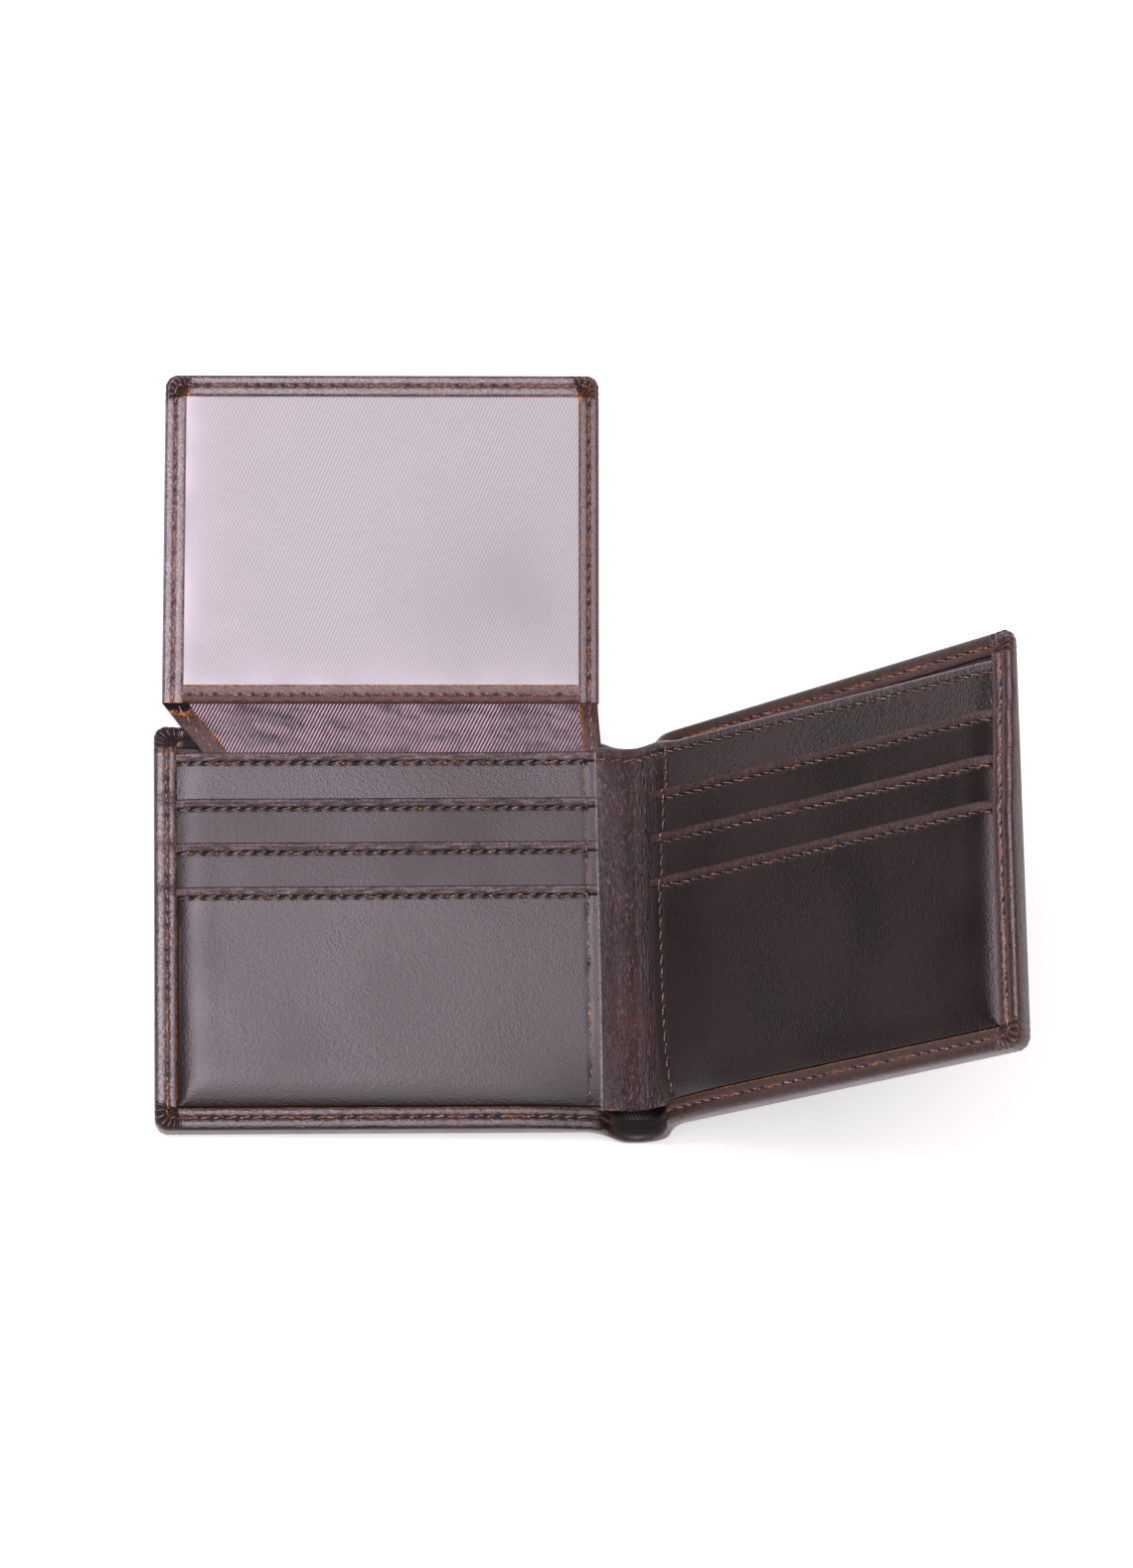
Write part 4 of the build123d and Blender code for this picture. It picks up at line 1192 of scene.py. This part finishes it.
def flap_rings(path):
    """Rings round the C-shaped section of the flap's turned leather."""
    edge = Rings(path)
    x, y = path.points[:, 0], path.points[:, 1]
    ridges = pleat(path.fan)
    holes = spread_holes(path.hole_shade)
    torn_out = mottle(x, y, 5.0, 8.0)
    on_left = x < (FLAP_X0 + FLAP_X1) / 2
    # painted shade: the right rim is painted redder and rougher, for its dimmer reflection
    brown = 0.5 * smooth_step(x, FLAP_X1 - 4, FLAP_X1 - 1)
    # painted highlight on the left and top rims, which face the light
    light = (path.fan < 0) * (0.5 * (x < FLAP_X0 + 1) + 0.22 * (y > FLAP_Y1 - 1))
    painted_highlight = light * (0.6 + 0.4 * torn_out)

    def face(side, steps):
        for inset, drop in steps:
            lip = smooth_step(inset, 0.1, 0.3)
            seam = bump(inset, FLAP_SEAM, 0.05)
            height = FLAP_MIDDLE + side * (FLAP_HALF - drop + 0.75 * ridges * lip - 0.3 * holes * seam)
            worn = (0.35 * seam + 0.3 * smooth_step(inset, 0.85, 1.0) + 0.1 * (path.fan >= 0)) * torn_out
            torn = 0.5 * smooth_step(inset, 0.95, 0.99) + 0.8 * bump(y - FLAP_Y0, 0, 0.35) * on_left
            torn = torn * torn_out + 0.7 * holes * seam * (torn_out > TORN_HOLES)
            corner = (path.fan >= 0) * smooth_step(inset, 0.8, 0.98)
            # painted shade in the stitch holes and the pleats' valleys
            hole_and_pleat_shade = holes * seam * (torn_out <= TORN_HOLES) + folded_in(ridges)
            push = 0.08 * ridges * (1 - inset)
            edge.add(inset, height, push, wear_and_painted_light=worn + brown, raw=torn + corner, hole_shade=hole_and_pleat_shade, painted_highlight=painted_highlight)

    face(1, FLAP_FACE)
    for angle in np.linspace(math.pi / 2, -math.pi / 2, 11):
        height = FLAP_MIDDLE + FLAP_HALF * math.sin(angle)
        # the pleats' valleys get painted shade on the roll as well
        rolled, pleat_shade = 0.15 * torn_out + 0.05 + brown, 0.6 * folded_in(ridges)
        edge.add(
            FLAP_ROLL * (1 - math.cos(angle)), height, 0.1 * ridges, wear_and_painted_light=rolled, hole_shade=pleat_shade, painted_highlight=painted_highlight
        )
    face(-1, FLAP_FACE[::-1])
    for inset, height in ((1.0, FLAP_BACK + FLAP_SKIN), (FLAP_ROLL, FLAP_BACK + FLAP_SKIN),
                          (FLAP_ROLL, FLAP_FRONT - FLAP_SKIN), (1.0, FLAP_FRONT - FLAP_SKIN)):
        edge.add(inset, height, painted_highlight=painted_highlight)
    return edge


def flap_frame():
    """The leather turned over the flap's two sides and top, gathered in pleats at its corners."""
    outer = [(FLAP_X0, FLAP_Y0), (FLAP_X0, FLAP_Y1), (FLAP_X1, FLAP_Y1), (FLAP_X1, FLAP_Y0)]
    left, right, top = FLAP_X0 + FLAP_RIM, FLAP_X1 - FLAP_RIGHT_RIM, FLAP_Y1 - FLAP_TOP_RIM
    inner = [(left, FLAP_Y0), (left, top), (right, top), (right, FLAP_Y0)]
    path = TurnedPath(outer, inner, 3.0, FLAP_SEAM)
    edge = flap_rings(path)
    count, total = len(path.points), len(edge.rings)
    faces = ring_faces(total, count)
    faces += [((total - 1) * count + i, (total - 1) * count + i + 1, i + 1, i) for i in range(count - 1)]
    shape = flap_shape(np.concatenate(edge.rings))
    piece = build("flap_frame", shape, faces, FLAP, FLAP_LEATHER, edge.all_paint(), close=True)
    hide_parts("flap_leather")
    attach(piece, "id_flap")
    return path


def flap_band_piece():
    """The separate strip folded along the flap's hinge edge, with a raw upper edge."""
    xs = grid_lines(FLAP_X0 + 0.4, FLAP_X1 - 0.4, GRID_STEP)
    ys = grid_lines(FLAP_Y0 - 0.1, FLAP_Y0 + FLAP_BAND + 0.1, 0.5, [FLAP_Y0 + BAND_SEAM], 0.24, 1.0)
    x, y = np.meshgrid(xs, ys)
    groove, near = relief(x, y, flap_band_seam)
    scallop = 0.1 * np.cos(2 * math.pi * (x - FLAP_X0) / (PITCH * 2)) * bump(y, FLAP_Y0 + 1.0, 1.0)
    front = FLAP_FRONT - 0.12 - groove + scallop
    top_gap = ys[-1] - y
    mottled = mottle(x, y, 4.0, 17.0)
    wear_and_painted_light = (1.0 * (1 - smooth_step(y - FLAP_Y0, 0.5, 1.9)) + 0.5) * (0.4 + 0.6 * mottled) + 0.3
    glint = mottled > 0.6
    raw = np.maximum(1.2 * np.exp(-top_gap / 0.3), 0.5 * near * glint)
    paint = {"wear_and_painted_light": wear_and_painted_light, "raw": raw, "hole_shade": near * ~glint, "crease_and_painted_light": 0.4 * bump(y, FLAP_Y0 + 0.8, 1.6)}
    piece = flap_sheet(
        "flap_hinge_band", x, y, front, FLAP_BACK + 0.1, (0.6, 0.6, 1.0, 0.3), FLAP_LEATHER,
        "flap_band", paint,
    )
    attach(piece, "id_flap")


def window_sheet(name, node, material, slack):
    """A film or the fabric sewn inside the flap, very slightly wavy. Gives its flat size."""
    low, high = local_box(node, FLAP)
    x, y = np.meshgrid(grid_lines(low[0], high[0], 1.4), grid_lines(low[1], high[1], 1.4))
    wave = slack * waves(x, y, 26.0, 7.0) * smooth_step(x, low[0], low[0] + 9)
    wave = wave * (1 - smooth_step(x, high[0] - 9, high[0]))
    left_gap, low_gap = x - FLAP_X0 - FLAP_RIM, y - FLAP_Y0 - FLAP_BAND
    # painted reflection near the left and bottom edges, and painted shade towards the lower right
    left_reflection, low_reflection = (np.exp(-np.clip(gap, 0, None) / 4.0) for gap in (left_gap, low_gap))
    haze_and_reflection = np.maximum(left_reflection, 0.8 * low_reflection) * (0.7 + 0.3 * waves(x, y, 9.0, 2.0))
    across, up = (x - low[0]) / (high[0] - low[0]), (y - low[1]) / (high[1] - low[1])
    shade = bump(across, 0.8, 0.22) * bump(up, 0.32, 0.22) * (0.75 + 0.25 * waves(x, y, 14.0, 27.0))
    paint = {"wear_and_painted_light": haze_and_reflection, "crease_and_painted_light": 0.8 * shade}
    piece = flap_sheet(name, x, y, high[2] + wave, low[2] + wave, THIN_EDGES, material, node, paint)
    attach(piece, "id_flap")
    return piece, flat_size(x, y)


flap_band_seam = stations([(FLAP_X0 + 3.2, FLAP_Y0 + BAND_SEAM), (FLAP_X1 - 3.2, FLAP_Y0 + BAND_SEAM)])
flap_path = flap_frame()
flap_band_piece()
window_sheet("window_film_front", "flap_window_front", FILM, 0.08)
window_sheet("window_film_back", "flap_window_back", FILM, 0.05)
twill_sheet, twill_flat = window_sheet(
    "window_twill_sheet", "flap_fabric", WINDOW_TWILL, 0.1
)


def flap_level(side, sink):
    return level_at(FLAP_MIDDLE + side * (FLAP_HALF - sink))


flap_rim_rows = [
    (flap_path.seam, flap_level(1, FLAP_SINK)),
    (flap_path.seam, flap_level(-1, FLAP_SINK), -1),
]
stitches(
    "flap_rim_stitches", flap_rim_rows, FLAP, ["flap_rim_thread"], PEACH_THREAD, flap_shape, "id_flap"
)
flap_band_rows = [(flap_band_seam, flap_level(1, 0.24)), (flap_band_seam, flap_level(-1, 0.12), -1)]
stitches(
    "flap_band_stitches", flap_band_rows, FLAP, ["flap_band_thread"], PEACH_THREAD, flap_shape, "id_flap"
)


# ---- the gusset between the flap and the left half ----
GUSSET_INSET = 8.3  # the gusset's left edge slants in by this much at the hinge
GUSSET_FOOT = -2.6  # it starts this far down inside the bill compartment
GUSSET_HEAD = FLAP_Y0 + 1.4
GUSSET_RIGHT = FLAP_X1 - 0.3
BINDING_LEFT, BINDING_RIGHT = 5.8, 4.3
BINDING_SEAM = (0.2, 11.0)  # the heights of the binding seams' two ends
gusset_foot_level = gusset_high[2] - 0.1


def gusset_left(y):
    return FLAP_X0 + 0.2 + GUSSET_INSET * (1 - np.clip(y / FLAP_Y0, 0, 1))


def gusset_level(x, y):
    """Middle of the gusset's fabric, which puckers between the bill compartment and the flap."""
    fall = np.clip(y / FLAP_Y0, 0, 1)
    free = smooth_step(y, 1.0, 4.5) * (1 - smooth_step(y, 9.0, FLAP_Y0))
    pucker = 0.45 + 0.45 * waves(x * 0.5 + y * 0.35, y, 3.4, 9.0) + 0.25 * waves(x, y * 2, 2.4, 3.0)
    sloping = gusset_foot_level + (FLAP_MIDDLE - gusset_foot_level) * fall
    return sloping + 0.6 * free * np.clip(pucker, 0, 1.2)


def gusset_blend(piece):
    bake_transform(piece)


def gusset_strip(name, left, right, above, thick, material, replaced, raw_edge=None, step=0.5):
    """A sheet over the gusset between two slanting lines, which are functions of y. A binding has a raw
    edge on its left or its right side."""
    rows = grid_lines(GUSSET_FOOT, GUSSET_HEAD, step)
    across = grid_lines(0, 1000, 1000 * step / float((right(0.0) - left(0.0))))[:, None].T / 1000
    y = np.repeat(rows[:, None], across.shape[1], 1)
    x = left(y) + (right(y) - left(y)) * across
    level = gusset_level(x, y) + above
    shade = 0.24 + 0.3 * waves(x * 0.5 + y * 0.35, y, 3.4, 9.5) + 0.2 * waves(x, y, 1.3, 4.0)
    paint = {"crease_and_painted_light": np.clip(shade, 0, 0.7)}
    if raw_edge:
        inner = np.minimum(x - left(y), right(y) - x)
        mottled = mottle(x, y, 3.0, 19.0)
        raw_side = (right(y) - x) if raw_edge == "right" else (x - left(y))
        raw = 1.1 * np.exp(-raw_side / 0.35) * (0.25 + mottled)
        gap = np.zeros(x.shape)
        if raw_edge == "right":
            torn_edge = FLAP_Y0 - 2.3 + 0.5 * waves(x, y * 0, 2.5, 6.0)
            raw = raw + 1.1 * bump(y, torn_edge, 0.4)
            # painted shade: the strip is painted near black above its torn edge
            gap = smooth_step(y, torn_edge + 0.3, torn_edge + 0.7)
        crease_and_painted_light = 0.5 * smooth_step(y, 5, 9)
        wear_and_painted_light = 0.2 + 0.3 * mottled + 0.3 * np.exp(-inner / 0.4)
        paint = {"wear_and_painted_light": wear_and_painted_light, "raw": raw, "crease_and_painted_light": crease_and_painted_light, "hole_shade": gap}
    edges = (0.3, 0.3, 0.3, 0.3)
    piece = flap_sheet(name, x, y, level + thick, level, edges, material, replaced, paint)
    gusset_blend(piece)
    return piece, x, y


gusset, gx, gy = gusset_strip(
    "gusset_twill_sheet", gusset_left, level_at(GUSSET_RIGHT), -0.1, 0.2, GUSSET_TWILL,
    "gusset_fabric",
)
gusset_strip(
    "gusset_binding_strip_left", gusset_left, lambda y: gusset_left(y) + BINDING_LEFT, 0.12, 0.5,
    BINDING_LEATHER, "gusset_binding_left", "right",
)
gusset_strip(
    "gusset_binding_strip_right", level_at(GUSSET_RIGHT - BINDING_RIGHT), level_at(GUSSET_RIGHT), 0.12, 0.5,
    BINDING_LEATHER, "gusset_binding_right", "left",
)
binding_seams = [
    stations([(gusset_left(y) + BINDING_LEFT / 2, y) for y in BINDING_SEAM]),
    stations([(GUSSET_RIGHT - BINDING_RIGHT * 0.45, y) for y in BINDING_SEAM]),
]
binding_stitches = stitches(
    "gusset_binding_stitches", [(seam, lambda x, y: gusset_level(x, y) + 0.56) for seam in binding_seams],
    FLAP, [], PEACH_THREAD, flap_shape,
)
gusset_blend(binding_stitches)


# ---- cloth that stays where the CAD has it, out of sight ----
hidden_names = ["bill_divider"]
for side in ("left", "right"):
    hidden_names += ["slot_lining_upper_" + side, "slot_lining_middle_" + side]
for name in hidden_names:
    nodes[name].data.materials.clear()
    nodes[name].data.materials.append(HIDDEN_TWILL)

# ---- camera, floor and light ----
camera = new_object("camera", bpy.data.cameras.new("camera"))
bpy.context.scene.camera = camera
camera.data.lens = 174.3
camera.data.sensor_width = 36
camera.data.clip_end = 20
camera.rotation_euler = [math.radians(angle) for angle in (16.22, -4.95, -1.0)]
AIM = (-0.0007, -0.0105, 0.0176)
DISTANCE = 1.705
camera.location = camera.rotation_euler.to_matrix() @ Matrix.Translation((0, 0, DISTANCE)).translation
camera.location = [a + b for a, b in zip(camera.location, AIM)]

floor_mesh = bpy.data.meshes.new("floor")
floor_mesh.from_pydata([(-3, -3, 0), (3, -3, 0), (3, 3, 0), (-3, 3, 0)], [], [(0, 1, 2, 3)])
floor = new_object("floor", floor_mesh)
floor_look, floor_tree, floor_shader = new_material("floor")
glow = {"Emission Color": (1, 1, 1, 1), "Emission Strength": 0.5}
matt_white = {"Base Color": (0.93, 0.93, 0.93, 1), "Roughness": 0.9, "Specular IOR Level": 0.1}
set_inputs(floor_tree, floor_shader, glow | matt_white)
floor_mesh.materials.append(floor_look)


def area_light(name, place, aim, size, power, colour=(1, 1, 1)):
    data = bpy.data.lights.new(name, "AREA")
    data.shape = "RECTANGLE"
    data.size, data.size_y = size
    data.energy = power
    data.color = colour
    light = new_object(name, data)
    light.location = place
    direction = Matrix.Translation(aim).translation - light.location
    light.rotation_euler = direction.to_track_quat("-Z", "Y").to_euler()
    light.visible_camera = False


area_light("softbox", (-0.34, 0.2, 0.9), (-0.34, 0.2, 0), (0.54, 0.55), 5.0, (1.0, 0.8, 0.96))
area_light("overhead", (0, 0, 2.2), (0, 0, 0), (2, 2), 33, (1.0, 0.91, 0.98))

world = bpy.data.worlds.new("world")
bpy.context.scene.world = world
world.use_nodes = True
sky = world.node_tree
set_inputs(sky, sky.nodes["Background"], {"Color": (1, 1, 1, 1), "Strength": 0.2})
bpy.context.scene.view_settings.view_transform = "Standard"
